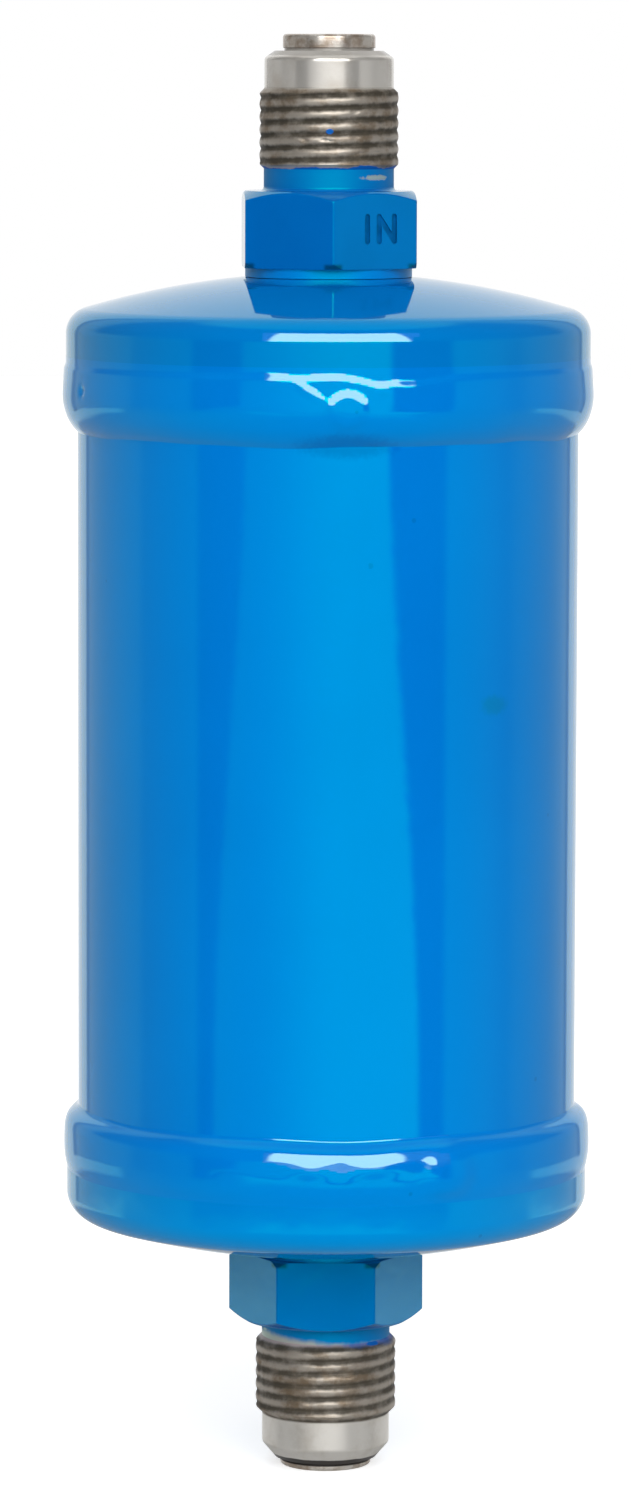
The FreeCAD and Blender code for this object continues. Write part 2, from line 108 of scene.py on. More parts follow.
def add_node(tree, kind, sockets=None, **settings):
    """Adds a shader node. A socket takes a plain value, a field or another node's output."""
    made = tree.nodes.new(kind)
    for name, setting in settings.items():
        setattr(made, name, setting)
    for name, source in (sockets or {}).items():
        source = getattr(source, "socket", source)
        if isinstance(source, bpy.types.NodeSocket):
            tree.links.new(source, made.inputs[name])
        else:
            made.inputs[name].default_value = source
    return made


class Field:
    """What a shader node puts out: a number, a colour or a place that changes from point to point. Fields of numbers
    are reckoned with like plain numbers."""

    def __init__(self, socket):
        self.socket = socket
        self.tree = socket.id_data

    def through(self, kind, *terms, out=0, **settings):
        """Feeds this field and more terms to a new node."""
        return Field(add_node(self.tree, kind, dict(enumerate((self, *terms))), **settings).outputs[out])

    def reckon(self, operation, *terms):
        """The result of one sum on numbers."""
        return self.through("ShaderNodeMath", *terms, operation=operation)

    def __add__(self, term):
        return self.reckon("ADD", term)

    def __sub__(self, term):
        return self.reckon("SUBTRACT", term)

    def __rsub__(self, term):
        return self * -1.0 + term

    def __mul__(self, term):
        return self.reckon("MULTIPLY", term)

    def __abs__(self):
        return self.reckon("ABSOLUTE")

    def reckon_vector(self, operation, *terms, out=0):
        """The result of one sum on vectors."""
        return self.through("ShaderNodeVectorMath", *terms, operation=operation, out=out)

    def split(self, kind="ShaderNodeSeparateXYZ"):
        """Its three parts."""
        return [Field(part) for part in add_node(self.tree, kind, {0: self}).outputs]

    def ramp(self, start, full, low=0.0, high=1.0):
        """Rises smoothly from low to high as this field goes from start to full."""
        return self.through("ShaderNodeMapRange", start, full, low, high, interpolation_type="SMOOTHSTEP")

    def band(self, start, full, fades, end):
        """Is 1 while this field lies between full and fades, and 0 beyond start and end."""
        return self.ramp(start, full) * self.ramp(fades, end, 1.0, 0.0)

    def mix(self, first, second):
        """The first colour where this field is 0 and the second where it is 1."""
        mixer = add_node(self.tree, "ShaderNodeMix", {0: self, 6: first, 7: second}, data_type="RGBA")
        return Field(mixer.outputs[2])


def grey(brightness):
    """A colour with no hue."""
    return brightness, brightness, brightness, 1


studio = bpy.data.worlds.new("studio")
studio.use_nodes = True
walls = studio.node_tree
walls.nodes.clear()
sideways, backwards, upwards = Field(add_node(walls, "ShaderNodeTexCoord").outputs["Generated"]).split()
bearing = sideways.reckon("ARCTAN2", backwards * -1.0) * math.degrees(1)
off_front = abs(bearing)
rise = upwards.reckon("ARCSINE") * math.degrees(1)
bands = add_node(walls, "ShaderNodeValToRGB", {0: bearing * (1 / 360) + 0.5})
stops = bands.color_ramp.elements
while len(stops) < len(WALL_BANDS):
    stops.new(1.0)
for stop, (degrees, brightness) in zip(stops, WALL_BANDS):
    stop.position = degrees / 360 + 0.5
    stop.color = grey(brightness)
high_wall = rise.ramp(*HIGH_WALL_RISE) * off_front.ramp(*HIGH_WALL_SIDES, 1.0, 0.0)
table = (rise - off_front.ramp(*TABLE_EDGE_BY_BEARING)).ramp(-TABLE_BLUR, 0.0, 1.0, 0.0)
screen = abs(bearing - SCREEN_BEARING) - rise.ramp(*SCREEN_WIDTH_BY_RISE)
screen = screen.ramp(-SCREEN_BLUR, SCREEN_BLUR, 1.0, 0.0) * rise.band(*SCREEN_RISE)
softbox = abs(bearing - SOFTBOX_BEARING).ramp(*SOFTBOX_SIDES, 1.0, 0.0) * rise.band(*SOFTBOX_RISE)
lit_room = Field(bands.outputs["Color"])
for share, brightness in (
    (high_wall, HIGH_WALL_BRIGHTNESS),
    (table, TABLE_BRIGHTNESS),
    (table * off_front.band(*TABLE_SIDES), TABLE_SIDE_BRIGHTNESS),
    (rise.ramp(*TABLE_NEAR_RISE, 1.0, 0.0), TABLE_NEAR_BRIGHTNESS),
    (screen * bearing.ramp(*SCREEN_LIGHT_BY_BEARING), SCREEN_BRIGHTNESS),
    (rise.ramp(*CEILING_RISE), CEILING_BRIGHTNESS),
    (softbox, SOFTBOX_BRIGHTNESS),
):
    lit_room = share.mix(lit_room, grey(brightness))
seen_by_camera = Field(add_node(walls, "ShaderNodeLightPath").outputs["Is Camera Ray"])
room_light = add_node(walls, "ShaderNodeBackground", {"Color": seen_by_camera.mix(lit_room, grey(1))})
add_node(walls, "ShaderNodeOutputWorld", {"Surface": room_light.outputs[0]})
bpy.context.scene.world = studio

# Floor. A sheet of white paper, which takes the drier's shadow and is otherwise as bright as what stands behind it.
# It can be looked through from below.
FLOOR_HALF_WIDTH = 2.5
FLOOR_PALE, FLOOR_SHADE = grey(0.72), grey(0.7)
FLOOR_LIFT = grey(0.6)
FLOOR_ROUGHNESS = 0.9


def new_material(name):
    """A material with no nodes in it, and its node tree."""
    made = bpy.data.materials.new(name)
    made.use_nodes = True
    made.node_tree.nodes.clear()
    return made, made.node_tree


paper, sheet = new_material("floor_paper")
rays = add_node(sheet, "ShaderNodeLightPath").outputs
seen = Field(rays["Is Camera Ray"]).reckon("MAXIMUM", rays["Is Transmission Ray"])
fibres = Field(add_node(sheet, "ShaderNodeTexNoise", {"Scale": 900.0, "Detail": 3.0}).outputs[0])
paper_shader = add_node(sheet, "ShaderNodeBsdfPrincipled", {
    "Base Color": fibres.mix(FLOOR_SHADE, FLOOR_PALE),
    "Roughness": FLOOR_ROUGHNESS,
    "Emission Color": seen.mix(grey(0), FLOOR_LIFT),
    "Emission Strength": 1.0,
})
from_below = add_node(sheet, "ShaderNodeNewGeometry").outputs["Backfacing"]
clear = add_node(sheet, "ShaderNodeBsdfTransparent")
paper_or_clear = add_node(
    sheet, "ShaderNodeMixShader", {0: from_below, 1: paper_shader.outputs[0], 2: clear.outputs[0]})
add_node(sheet, "ShaderNodeOutputMaterial", {"Surface": paper_or_clear.outputs[0]})
floor_corners = [
    (x * FLOOR_HALF_WIDTH, y * FLOOR_HALF_WIDTH, cad_box[0].z) for x, y in ((-1, -1), (1, -1), (1, 1), (-1, 1))]
floor_mesh = bpy.data.meshes.new("floor")
floor_mesh.from_pydata(floor_corners, [], [(0, 1, 2, 3)])
floor_mesh.materials.append(paper)
floor = bpy.data.objects.new("floor", floor_mesh)
bpy.context.scene.collection.objects.link(floor)
floor.visible_glossy = False

# Shell tube. Drawn steel tube with a coat of gloss enamel, sprayed on after welding. The enamel has a faint
# orange peel, a little dust under it and one old smear, and is deepest in colour where it pooled.
ENAMEL_BLUE = (0.0, 0.173, 0.61, 1)
ENAMEL_POOLED = (0.0, 0.155, 0.575, 1)
ENAMEL_SPECK = (0.0, 0.08, 0.3, 1)
ENAMEL_SHINE = 2.0
ENAMEL_SHEEN = (0.0, 1.0, 0.66, 1)
# A paler reflection tint, laid only where the softbox's highlight falls as seen from the front: a painted highlight.
HIGHLIGHT_SHEEN = (0.65, 1.0, 0.72, 1)
PEEL_DEPTH = 0.006 * MM
SPECK_SIZE, SPECK_SHOWS, SPECK_HEIGHT = 0.22, 0.35, 0.5
PATCH_REACH = 0.8
TURN_STEPS = 256
SHELL_WALL = 1.2 * MM
SHELL_EDGE = 0.15 * MM
# A smear has a place, its reach to each side, the colour of its dirt and how much of it shows.
SHELL_SMEAR = (18.2 * MM, -21.3 * MM, 7.9 * MM), (1.7 * MM, 2.0 * MM, 1.1 * MM), (0.0, 0.14, 0.32, 1), 0.5
TOE_SMEAR = (2.0 * MM, -28.2 * MM, 36.5 * MM), (5.2 * MM, 5.0 * MM, 1.3 * MM), (0.0, 0.07, 0.4, 1), 0.62


def place_on_object(tree):
    """The point on the object, in metres from the drier's middle."""
    return Field(add_node(tree, "ShaderNodeTexCoord").outputs["Object"])


def grain(point, scale, detail=2.0, roughness=0.5, distortion=0.0):
    """Smooth noise from 0 to 1 with so many waves to the metre."""
    sockets = {"Vector": point, "Scale": scale, "Detail": detail, "Roughness": roughness, "Distortion": distortion}
    return Field(add_node(point.tree, "ShaderNodeTexNoise", sockets).outputs[0])


def shader_group(name, result, **inputs):
    """A shader node group with named inputs and one result, the point on the object in it and its inputs."""
    tree = bpy.data.node_groups.new(name, "ShaderNodeTree")
    for label, default in inputs.items():
        kind = "NodeSocketFloat" if isinstance(default, float) else "NodeSocketVector"
        tree.interface.new_socket(name=label, in_out="INPUT", socket_type=kind).default_value = default
    tree.interface.new_socket(name=result, in_out="OUTPUT", socket_type="NodeSocketFloat")
    sockets = tree.nodes.new("NodeGroupInput").outputs
    return tree, place_on_object(tree), *(Field(sockets[label]) for label in inputs)


def use_group(tree, group, **values):
    """The result of a node group that is placed in a material with its own values."""
    return Field(add_node(tree, "ShaderNodeGroup", values, node_tree=group).outputs[0])


# Orange peel: the low swell that sprayed enamel sets with.
orange_peel, peel_point, peel_scale, peel_swell = shader_group("orange_peel", "Height", Scale=500.0, Swell=1.0)
wide_peel = grain(peel_point, peel_scale * 0.22, 1.0)
peel_height = (wide_peel * 2.0 + grain(peel_point, peel_scale)) * peel_swell
add_node(orange_peel, "NodeGroupOutput", {"Height": peel_height})

# Specks: dust caught in a finish, as small round spots that differ in size and lie far apart.
specks, speck_point, speck_scale, speck_share = shader_group("specks", "Mask", Scale=400.0, Share=0.1)
speck_cells = add_node(specks, "ShaderNodeTexVoronoi", {"Vector": speck_point, "Scale": speck_scale}).outputs
speck_chance, speck_size, _ = Field(speck_cells["Color"]).split("ShaderNodeSeparateColor")
speck_inside = Field(speck_cells["Distance"]).reckon("LESS_THAN", speck_size * SPECK_SIZE)
add_node(specks, "NodeGroupOutput", {"Mask": speck_inside * speck_chance.reckon("LESS_THAN", speck_share)})

# Patch: one ragged spot at a place, such as a smear, a chip or a fleck of paint.
patch, patch_point, patch_place, patch_reach, patch_ragged, patch_blur = shader_group(
    "patch", "Mask", Place=(0.0, 0.0, 0.0), Reach=(0.001, 0.001, 0.001), Ragged=0.4, Blur=0.3)
patch_offset = patch_point.reckon_vector("SUBTRACT", patch_place).reckon_vector("DIVIDE", patch_reach)
patch_distance = patch_offset.reckon_vector("LENGTH", out="Value") + grain(patch_point, 1800.0, 3.0) * patch_ragged
add_node(patch, "NodeGroupOutput", {"Mask": patch_distance.ramp(patch_blur + PATCH_REACH, PATCH_REACH)})


def mottle(point, scale, start, full, low=0.0, high=1.0, detail=3.0, roughness=0.5):
    """Uneven patches, which rise from low to high as their noise goes from start to full."""
    return grain(point, scale, detail, roughness).ramp(start, full, low, high)


def bump(height, depth):
    """The surface's direction where its height swells by so many metres."""
    return Field(add_node(height.tree, "ShaderNodeBump", {"Height": height, "Distance": depth}).outputs[0])


def show(tree, **sockets):
    """Ends a material with its shader. Words of a socket's name are joined by lines below."""
    named = {label.replace("_", " "): value for label, value in sockets.items()}
    shader = add_node(tree, "ShaderNodeBsdfPrincipled", named)
    add_node(tree, "ShaderNodeOutputMaterial", {"Surface": shader.outputs[0]})


def gloss_enamel(name, sheen, *smears, swell, dust, coat=(ENAMEL_BLUE, ENAMEL_POOLED), haze=0.045):
    """Gloss blue enamel, sprayed over steel, with its orange peel's swell, its share of dust and the roughness of its
    haze. Its sheen tints its reflections: deep blue over most of the enamel, and paler as a painted highlight where
    the softbox's highlight falls on the front of the upper knuckle and of the beads."""
    made, tree = new_material(name)
    point = place_on_object(tree)
    colour = mottle(point, 28.0, 0.35, 0.75).mix(*coat)
    specked = use_group(tree, specks, Scale=650.0, Share=dust)
    colour = (specked * SPECK_SHOWS).mix(colour, ENAMEL_SPECK)
    for place, reach, dirt, share in smears:
        smeared = use_group(tree, patch, Place=place, Reach=reach, Ragged=0.7, Blur=0.9)
        colour = (smeared * share).mix(colour, dirt)
    peel = use_group(tree, orange_peel, Scale=420.0, Swell=swell)
    show(
        tree, Base_Color=colour, Roughness=mottle(point, 60.0, 0.45, 0.8, haze, haze * 1.6, detail=4.0),
        IOR=ENAMEL_SHINE, Specular_Tint=sheen, Normal=bump(specked * SPECK_HEIGHT + peel, PEEL_DEPTH))
    return made


def finished(made, name, sharp_angle=35):
    """An object from a mesh in the making, smooth but for edges sharper than so many degrees."""
    bmesh.ops.remove_doubles(made, verts=made.verts, dist=0.0001 * MM)
    bmesh.ops.recalc_face_normals(made, faces=made.faces)
    mesh = bpy.data.meshes.new(name)
    made.to_mesh(mesh)
    made.free()
    mesh.shade_smooth()
    mesh.set_sharp_from_angle(angle=math.radians(sharp_angle))
    piece = bpy.data.objects.new(name, mesh)
    bpy.context.scene.collection.objects.link(piece)
    return piece


def around(angle, radius, height):
    """A point by its angle from the front, its distance from the axis and its height."""
    return Vector((radius * math.sin(angle), -radius * math.cos(angle), height))


def skin(made, columns, closed=True):
    """Lays faces between each column of corners and the next, and between the last and the first if it is closed."""
    for column, beside in zip(columns, columns[1:] + columns[:int(closed)]):
        for here, above, across, over in zip(column, column[1:] + column[:1], beside, beside[1:] + beside[:1]):
            corners = list(dict.fromkeys((here, across, over, above)))
            if len(corners) > 2:
                made.faces.new(corners)


def lathe(name, outline, shape=None, steps=TURN_STEPS):
    """Turns a closed outline of (radius, height) points about the drier's axis. A shape function may move each point,
    from its angle and its number in the outline."""
    made = bmesh.new()
    columns = []
    for step in range(steps):
        angle = math.tau * step / steps
        points = [shape(angle, number, *point) if shape else point for number, point in enumerate(outline)]
        columns.append([made.verts.new(around(angle, *point)) for point in points])
    skin(made, columns)
    return finished(made, name)


def arc(centre, radius, start, end, count):
    """Points on an arc, with its angles in degrees up from straight outwards."""
    angles = [math.radians(start + (end - start) * step / count) for step in range(count + 1)]
    return [(centre[0] + radius * math.cos(angle), centre[1] + radius * math.sin(angle)) for angle in angles]


def put_in_place(piece, node, slot, *finishes):
    """Gives a piece its finishes and lets it stand for its node of the CAD model."""
    for finish in finishes:
        piece.data.materials.append(finish)
    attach(piece, "root")
    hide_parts(node)


shell_low, shell_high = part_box("shell_tube")
shell_radius = shell_high.x
shell_bore = shell_radius - SHELL_WALL
shell = lathe("shell", [
    (shell_bore, shell_low.z),
    (shell_radius - SHELL_EDGE, shell_low.z),
    (shell_radius, shell_low.z + SHELL_EDGE),
    (shell_radius, shell_high.z - SHELL_EDGE),
    (shell_radius - SHELL_EDGE, shell_high.z),
    (shell_bore, shell_high.z),
])
shell_enamel = gloss_enamel("shell_enamel", ENAMEL_SHEEN, SHELL_SMEAR, TOE_SMEAR, swell=1.0, dust=0.012)
put_in_place(shell, "shell_tube", "painted_steel", shell_enamel)

# End caps. Each is pressed from steel sheet of even wall: a straight skirt that slips over the tube, a tight knuckle
# and a low crown, with a hole for the fitting. Their coats are painted lighter on the lower cap, as painted light
# from the table below it, and darker on the upper cap. A paler reflection tint lies on the front of the upper
# knuckle, only where the softbox's highlight falls: a painted highlight.
CAP_WALL = 1.2 * MM
KNUCKLE_RADIUS = 2.9 * MM
CROWN_RADIUS = 96 * MM
FITTING_HOLE = 5.6 * MM
RIM_ROUNDING = 0.2 * MM
# Where the painted highlight tint lies on the upper cap: how far below the top its band starts and ends, and its span
# across the front.
HIGHLIGHT_BELOW_TOP, HIGHLIGHT_TO_BELOW_TOP = 6.29 * MM, 5.3 * MM
HIGHLIGHT_START, HIGHLIGHT_END = -6.9 * MM, 9.5 * MM
# The caps' coats differ from the shell's enamel as painted light: the lower cap's is painted lighter and greener for
# the light the table throws up at it, and the upper cap's is darker.
INLET_CAP_COAT = (0.0, 0.156, 0.52, 1), (0.0, 0.142, 0.48, 1)
OUTLET_CAP_LIT_COAT = (0.0, 0.2, 0.6, 1), (0.0, 0.183, 0.57, 1)


def cap_outline(rim, top, outside):
    """The closed outline of the upper cap, from its rim up the outside and back down the inside."""
    knuckle_centre = outside - KNUCKLE_RADIUS
    slope = math.asin(knuckle_centre / (CROWN_RADIUS - KNUCKLE_RADIUS))
    hole_slope = math.asin(FITTING_HOLE / CROWN_RADIUS)
    crown_centre = top - CROWN_RADIUS * math.cos(hole_slope)
    knuckle = (knuckle_centre, crown_centre + (CROWN_RADIUS - KNUCKLE_RADIUS) * math.cos(slope))
    crown = (0, crown_centre)
    knuckle_end, crown_end = 90 - math.degrees(slope), 90 - math.degrees(hole_slope)
    return [
        (outside - CAP_WALL, rim),
        (outside - RIM_ROUNDING, rim),
        (outside, rim + RIM_ROUNDING),
        *arc(knuckle, KNUCKLE_RADIUS, 0, knuckle_end, 24),
        *arc(crown, CROWN_RADIUS, knuckle_end, crown_end, 28)[1:],
        *arc(crown, CROWN_RADIUS - CAP_WALL, crown_end, knuckle_end, 8),
        *arc(knuckle, KNUCKLE_RADIUS - CAP_WALL, knuckle_end, 0, 6)[1:],
    ]


highlight_enamel = gloss_enamel("highlight_enamel", HIGHLIGHT_SHEEN, swell=1.2, dust=0.015)
cap_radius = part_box("inlet_end_cap")[1].x
for end, way, coat in (("inlet", 1, INLET_CAP_COAT), ("outlet", -1, OUTLET_CAP_LIT_COAT)):
    node = f"{end}_end_cap"
    rim, top = sorted(way * corner.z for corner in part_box(node))
    cap = lathe(f"{end}_cap", [(radius, way * height) for radius, height in cap_outline(rim, top, cap_radius)])
    # Each cap takes its own coat, painted lighter or darker for the light on that cap.
    cap_enamel = gloss_enamel(f"{end}_cap_enamel", ENAMEL_SHEEN, swell=1.1, dust=0.015, coat=coat)
    put_in_place(cap, node, "painted_steel", cap_enamel, highlight_enamel)
    # Faces on the front of the upper knuckle, where the softbox's highlight falls, take the painted highlight tint.
    for face in cap.data.polygons:
        in_front = HIGHLIGHT_START < face.center.x < HIGHLIGHT_END and face.center.y < 0
        face.material_index = int(in_front and HIGHLIGHT_TO_BELOW_TOP < top - face.center.z < HIGHLIGHT_BELOW_TOP)

# Cap weld beads. Each is one run of weld metal laid round the joint between a cap's rim and the tube, which swells
# and sinks as the tube turned under the torch and ends in a raised button over its own start. Enamel softens it.
BEAD_STEPS = 480
BEAD_ROWS = 44
BEAD_SINK = 0.4 * MM
BEAD_FULLNESS, LUMP_FADE = 0.7, 6
BEAD_SWELL, SWELL_WAVE = 0.05 * MM, 6 * MM
BEAD_RIPPLE, RIPPLE_WAVE = 0.01 * MM, 2.4 * MM
TOE_WANDER, TOE_WAVE = 0.3 * MM, 8 * MM
SHOULDER_WANDER, SHOULDER_WAVE = 0.15 * MM, 7 * MM
# Where the painted highlight tint lies on the beads: the upward slopes that catch the softbox's highlight, and how
# far across the front it reaches on the outlet bead.
HIGHLIGHT_SLOPE_START, HIGHLIGHT_SLOPE_END = 0.1, 0.45
OUTLET_HIGHLIGHT_END = 13.5 * MM
# Points of each bead's section, as its distance from the toe and its radius, in millimetres.
INLET_BEAD_SECTION = [
    (0, 27.9), (0.25, 28.02), (0.6, 28.35), (1.1, 28.72), (1.9, 29.15), (2.8, 29.45), (3.6, 29.62), (4.4, 29.69),
    (5.2, 29.67), (6.0, 29.62), (6.8, 29.56), (7.4, 29.52), (7.65, 29.49), (7.85, 29.43), (8.05, 29.355),
    (8.2, 29.32), (8.4, 29.31), (8.8, 29.31),
]
OUTLET_BEAD_SECTION = [
    (0, 27.9), (0.3, 27.96), (0.62, 28.07), (0.8, 28.22), (1.05, 28.6), (1.35, 28.95), (1.65, 29.2), (2.05, 29.38),
    (2.6, 29.52), (3.2, 29.58), (4.2, 29.62), (5.2, 29.62), (6.2, 29.55), (6.9, 29.44), (7.35, 29.34), (7.7, 29.28),
]
# Lumps of each bead, with place, reach, lean, height and edge as the lump function takes them.
INLET_LUMPS = [
    ((2.1, 40.4), (2.0, 2.0), 0, 0.14, 10),
    ((2.1, 40.4), (1.1, 1.0), 0, -0.04, 2),
    ((-2.0, 42.3), (2.1, 0.4), -34, 0.075, 2),
    ((13.0, 40.8), (3.0, 1.4), 0, 0.04, 2),
    ((1.6, 36.6), (3.2, 0.9), 0, -0.3, 2),
    ((-34.0, 41.5), (0.5, 0.6), 0, -0.3, 2),
]
OUTLET_LUMPS = [
    ((13.8, -43.1), (2.8, 2.6), 0, 0.33, 4),
    ((-1.9, -42.3), (2.0, 0.8), 0, 0.1, 2),
    ((5.4, -42.2), (2.6, 0.8), 4, 0.1, 2),
    ((-9.0, -42.6), (5.0, 0.9), -6, 0.05, 2),
    ((1.6, -41.6), (0.9, 0.6), 0, -0.05, 2),
]
# How far each bead's shoulder draws back towards its toe, by the place across the front, in millimetres.
INLET_SHOULDER = [
    (-30.0, 0.2), (-12.0, 0.1), (-6.5, 0.0), (-3.7, 0.2), (-1.5, 0.12), (1.1, 0.05), (3.6, 0.5), (5.7, 1.15),
    (7.1, 0.85), (9.0, 0.95), (14.0, 0.3), (30.0, 0.1),
]
OUTLET_SHOULDER = [(-30.0, 0.0), (30.0, 0.0)]


def wander(angle, height, size, seed):
    """Smooth noise from -1 to 1 over the bead, with waves of a size, that joins up with itself round the tube."""
    reach = shell_radius / size
    return noise.noise(Vector((reach * math.sin(angle), reach * math.cos(angle), height / size + seed)))


def between(section, place):
    """The height of a smooth line through the points of a section, at a place along it."""
    place = min(max(place, section[0][0]), section[-1][0])
    here = max(number for number in range(len(section) - 1) if section[number][0] <= place)
    (x0, y0), (x1, y1) = section[here:here + 2]
    before = section[max(here - 1, 0)]
    after = section[min(here + 2, len(section) - 1)]
    leave = (y1 - before[1]) / (x1 - before[0]) * (x1 - x0)
    arrive = (after[1] - y0) / (after[0] - x0) * (x1 - x0)
    t = (place - x0) / (x1 - x0)
    start = (2 * t ** 3 - 3 * t ** 2 + 1) * y0 + (t ** 3 - 2 * t ** 2 + t) * leave
    return start + (3 * t ** 2 - 2 * t ** 3) * y1 + (t ** 3 - t ** 2) * arrive


def lump(across, level, place, reach, lean, height, edge):
    """The height of one lump, as an oval hill. The higher its edge number, the flatter its top and the steeper its
    sides. Sizes are in millimetres and its lean in degrees."""
    offset = (Vector((across, level)) - Vector(place)) @ Matrix.Rotation(math.radians(lean), 2)
    return height * math.exp(-math.hypot(offset.x / reach[0], offset.y / reach[1]) ** edge)


def weld_bead(name, toe, shoulder, section, line, lumps, seed):
    """A bead from its toe on the tube to its shoulder on the cap's skirt, where it draws back along a line."""
    height = shoulder - toe
    way = math.copysign(1, height)
    rows = [(0, toe + height * row / BEAD_ROWS) for row in range(BEAD_ROWS + 1)]
    outline = [*rows, (shell_radius - BEAD_SINK, shoulder), (shell_radius - BEAD_SINK, toe)]

    def shape(angle, number, radius, level):
        if number > BEAD_ROWS:
            return radius, level
        share = number / BEAD_ROWS
        across = math.remainder(angle, math.tau) * cap_radius
        swell = math.sin(math.pi * share)
        shift = SHOULDER_WANDER * wander(angle, 0, SHOULDER_WAVE, seed + 3) * swell ** 2
        shift += between(line, across / MM) * MM * share
        radius = between(section, (abs(level - toe) + shift) / MM) * MM
        body = swell ** BEAD_FULLNESS
        radius += body * BEAD_SWELL * wander(angle, level, SWELL_WAVE, seed)
        radius += body * BEAD_RIPPLE * wander(angle, level, RIPPLE_WAVE, seed + 5)
        fade = min(share * LUMP_FADE, (1 - share) * LUMP_FADE, 1)
        radius += sum(lump(across / MM, level / MM, *one) for one in lumps) * MM * fade
        level += (1 - share) ** 2 * TOE_WANDER * wander(angle, 0, TOE_WAVE, seed + 9) * way
        return radius, level

    return lathe(name, outline, shape, BEAD_STEPS)


bead_enamel = gloss_enamel("bead_enamel", ENAMEL_SHEEN, TOE_SMEAR, swell=1.3, dust=0.02)
for end, way, section, line, lumps, seed, highlight_end in (
    ("inlet", 1, INLET_BEAD_SECTION, INLET_SHOULDER, INLET_LUMPS, 3.1, HIGHLIGHT_END),
    ("outlet", -1, OUTLET_BEAD_SECTION, OUTLET_SHOULDER, OUTLET_LUMPS, 11.7, OUTLET_HIGHLIGHT_END),
):
    node = f"{end}_cap_weld"
    toe, shoulder = (corner.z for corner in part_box(node)[::way])
    bead = weld_bead(f"{end}_bead", toe, shoulder, section, line, lumps, seed)
    put_in_place(bead, node, "painted_steel", bead_enamel, highlight_enamel)
    # Faces on the front of each bead that slope up into the softbox's highlight take the painted highlight tint.
    for face in bead.data.polygons:
        in_front = HIGHLIGHT_START < face.center.x < highlight_end and face.normal.y < 0
        face.material_index = int(in_front and HIGHLIGHT_SLOPE_START < face.normal.z < HIGHLIGHT_SLOPE_END)

# Fitting welds. Each fitting is projection welded to its cap, which leaves a low ring of metal between the crown and
# the hexagon, squeezed out a little unevenly and painted over.
RING_EMBED = 0.3 * MM
RING_UNEVEN, RING_WAVE = 0.02 * MM, 3 * MM


def weld_ring(name, low, high, seed):
    """A low ring from the crown of the cap up to the hexagon."""
    outline = [(FITTING_HOLE, low.z + RING_EMBED), (high.x, low.z), (high.x, high.z), (FITTING_HOLE, high.z)]

    def shape(angle, number, radius, level):
        if number in (0, 3):
            return radius, level
        return radius - RING_UNEVEN * (0.5 + 0.5 * wander(angle, 0, RING_WAVE, seed)), level

    return lathe(name, outline, shape)


ring_enamel = gloss_enamel("ring_enamel", ENAMEL_SHEEN, swell=2.0, dust=0.03, haze=0.4)
for end, seed in (("inlet", 2.2), ("outlet", 7.4)):
    node = f"{end}_fitting_weld"
    put_in_place(weld_ring(f"{end}_ring", *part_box(node), seed), node, "painted_steel", ring_enamel)

# Flare fittings. Each is turned from one steel bar: spigot, hexagon, neck, rolled thread, plain pilot and a nose that
# seals against the flared tube. The enamel stops raggedly at the thread, and oil and dirt sit in the thread's roots,
# which are also painted darker as painted shade. The groove under the nose's lip is painted dark as painted shadow.
SPIGOT_REACH = 2.4 * MM
SPIGOT_RADIUS = 5.5 * MM
HEX_FLATS = 19.05 * MM
HEX_FACE_RADIUS, HEX_FACE_SLOPE = 9.3 * MM, math.tan(math.radians(30))
HEX_SEAT_RADIUS, HEX_SEAT_SLOPE = 10.45 * MM, math.tan(math.radians(50))
HEX_EDGE = 0.3 * MM
HEX_SOFTENING = 0.12 * MM
HEX_SOFTENED = ((0, -1), (-0.13, -0.4), (-0.45, 0.1))
HEX_CORNER_STEPS, HEX_FLAT_STEPS, HEX_SHARP_ANGLE = 6, 24, 4
NECK_RADIUS = 7.25 * MM
NECK_FILLET = 0.5 * MM
THREAD_LENGTH = 8.9 * MM
THREAD_PITCH = 25.4 / 18 * MM
THREAD_STEPS, THREAD_ROWS = 144, 12
THREAD_RUN_IN, THREAD_RUN_OUT = 1.1 * THREAD_PITCH, 0.6 * THREAD_PITCH
THREAD_ROUNDNESS = 1.1
CREST_WEAR, WEAR_WAVES = 0.025 * MM, (9, 2600)
NICK_DEPTH, NICK_WAVES, NICK_RARITY = 0.7 * MM, (6, 1500), 0.38
PILOT_RADIUS = 7.2 * MM
PILOT_LENGTH = 3.35 * MM
NOSE_LENGTH = 2.65 * MM
SHOULDER_ROUNDING = 0.6 * MM
LIP_RADIUS = 5.15 * MM
LIP_ROUNDING, LIP_EDGE = 0.4 * MM, 0.06 * MM
GROOVE_DEPTH, GROOVE_WIDTH = 0.15 * MM, 0.3 * MM
PORT_RADIUS, PORT_CHAMFER = 3.57 * MM, 0.3 * MM
LETTER_LEVEL = 59.3 * MM
LETTER_WIDTH = 0.66 * MM
LETTER_TOP = 1.35 * MM
# Each stroke of the letters: its two ends, across the face and up from its middle, and its depth.
LETTER_STROKES = [
    ((-1.05 * MM, -LETTER_TOP), (-1.05 * MM, LETTER_TOP), 0.2 * MM),
    ((0.5 * MM, -LETTER_TOP), (0.5 * MM, LETTER_TOP), 0.21 * MM),
    ((0.57 * MM, 1.22 * MM), (2.43 * MM, -1.22 * MM), 0.17 * MM),
    ((2.5 * MM, -LETTER_TOP), (2.5 * MM, LETTER_TOP), 0.23 * MM),
]
PAINTED_END, BARE_END, IN_LETTERS = range(3)


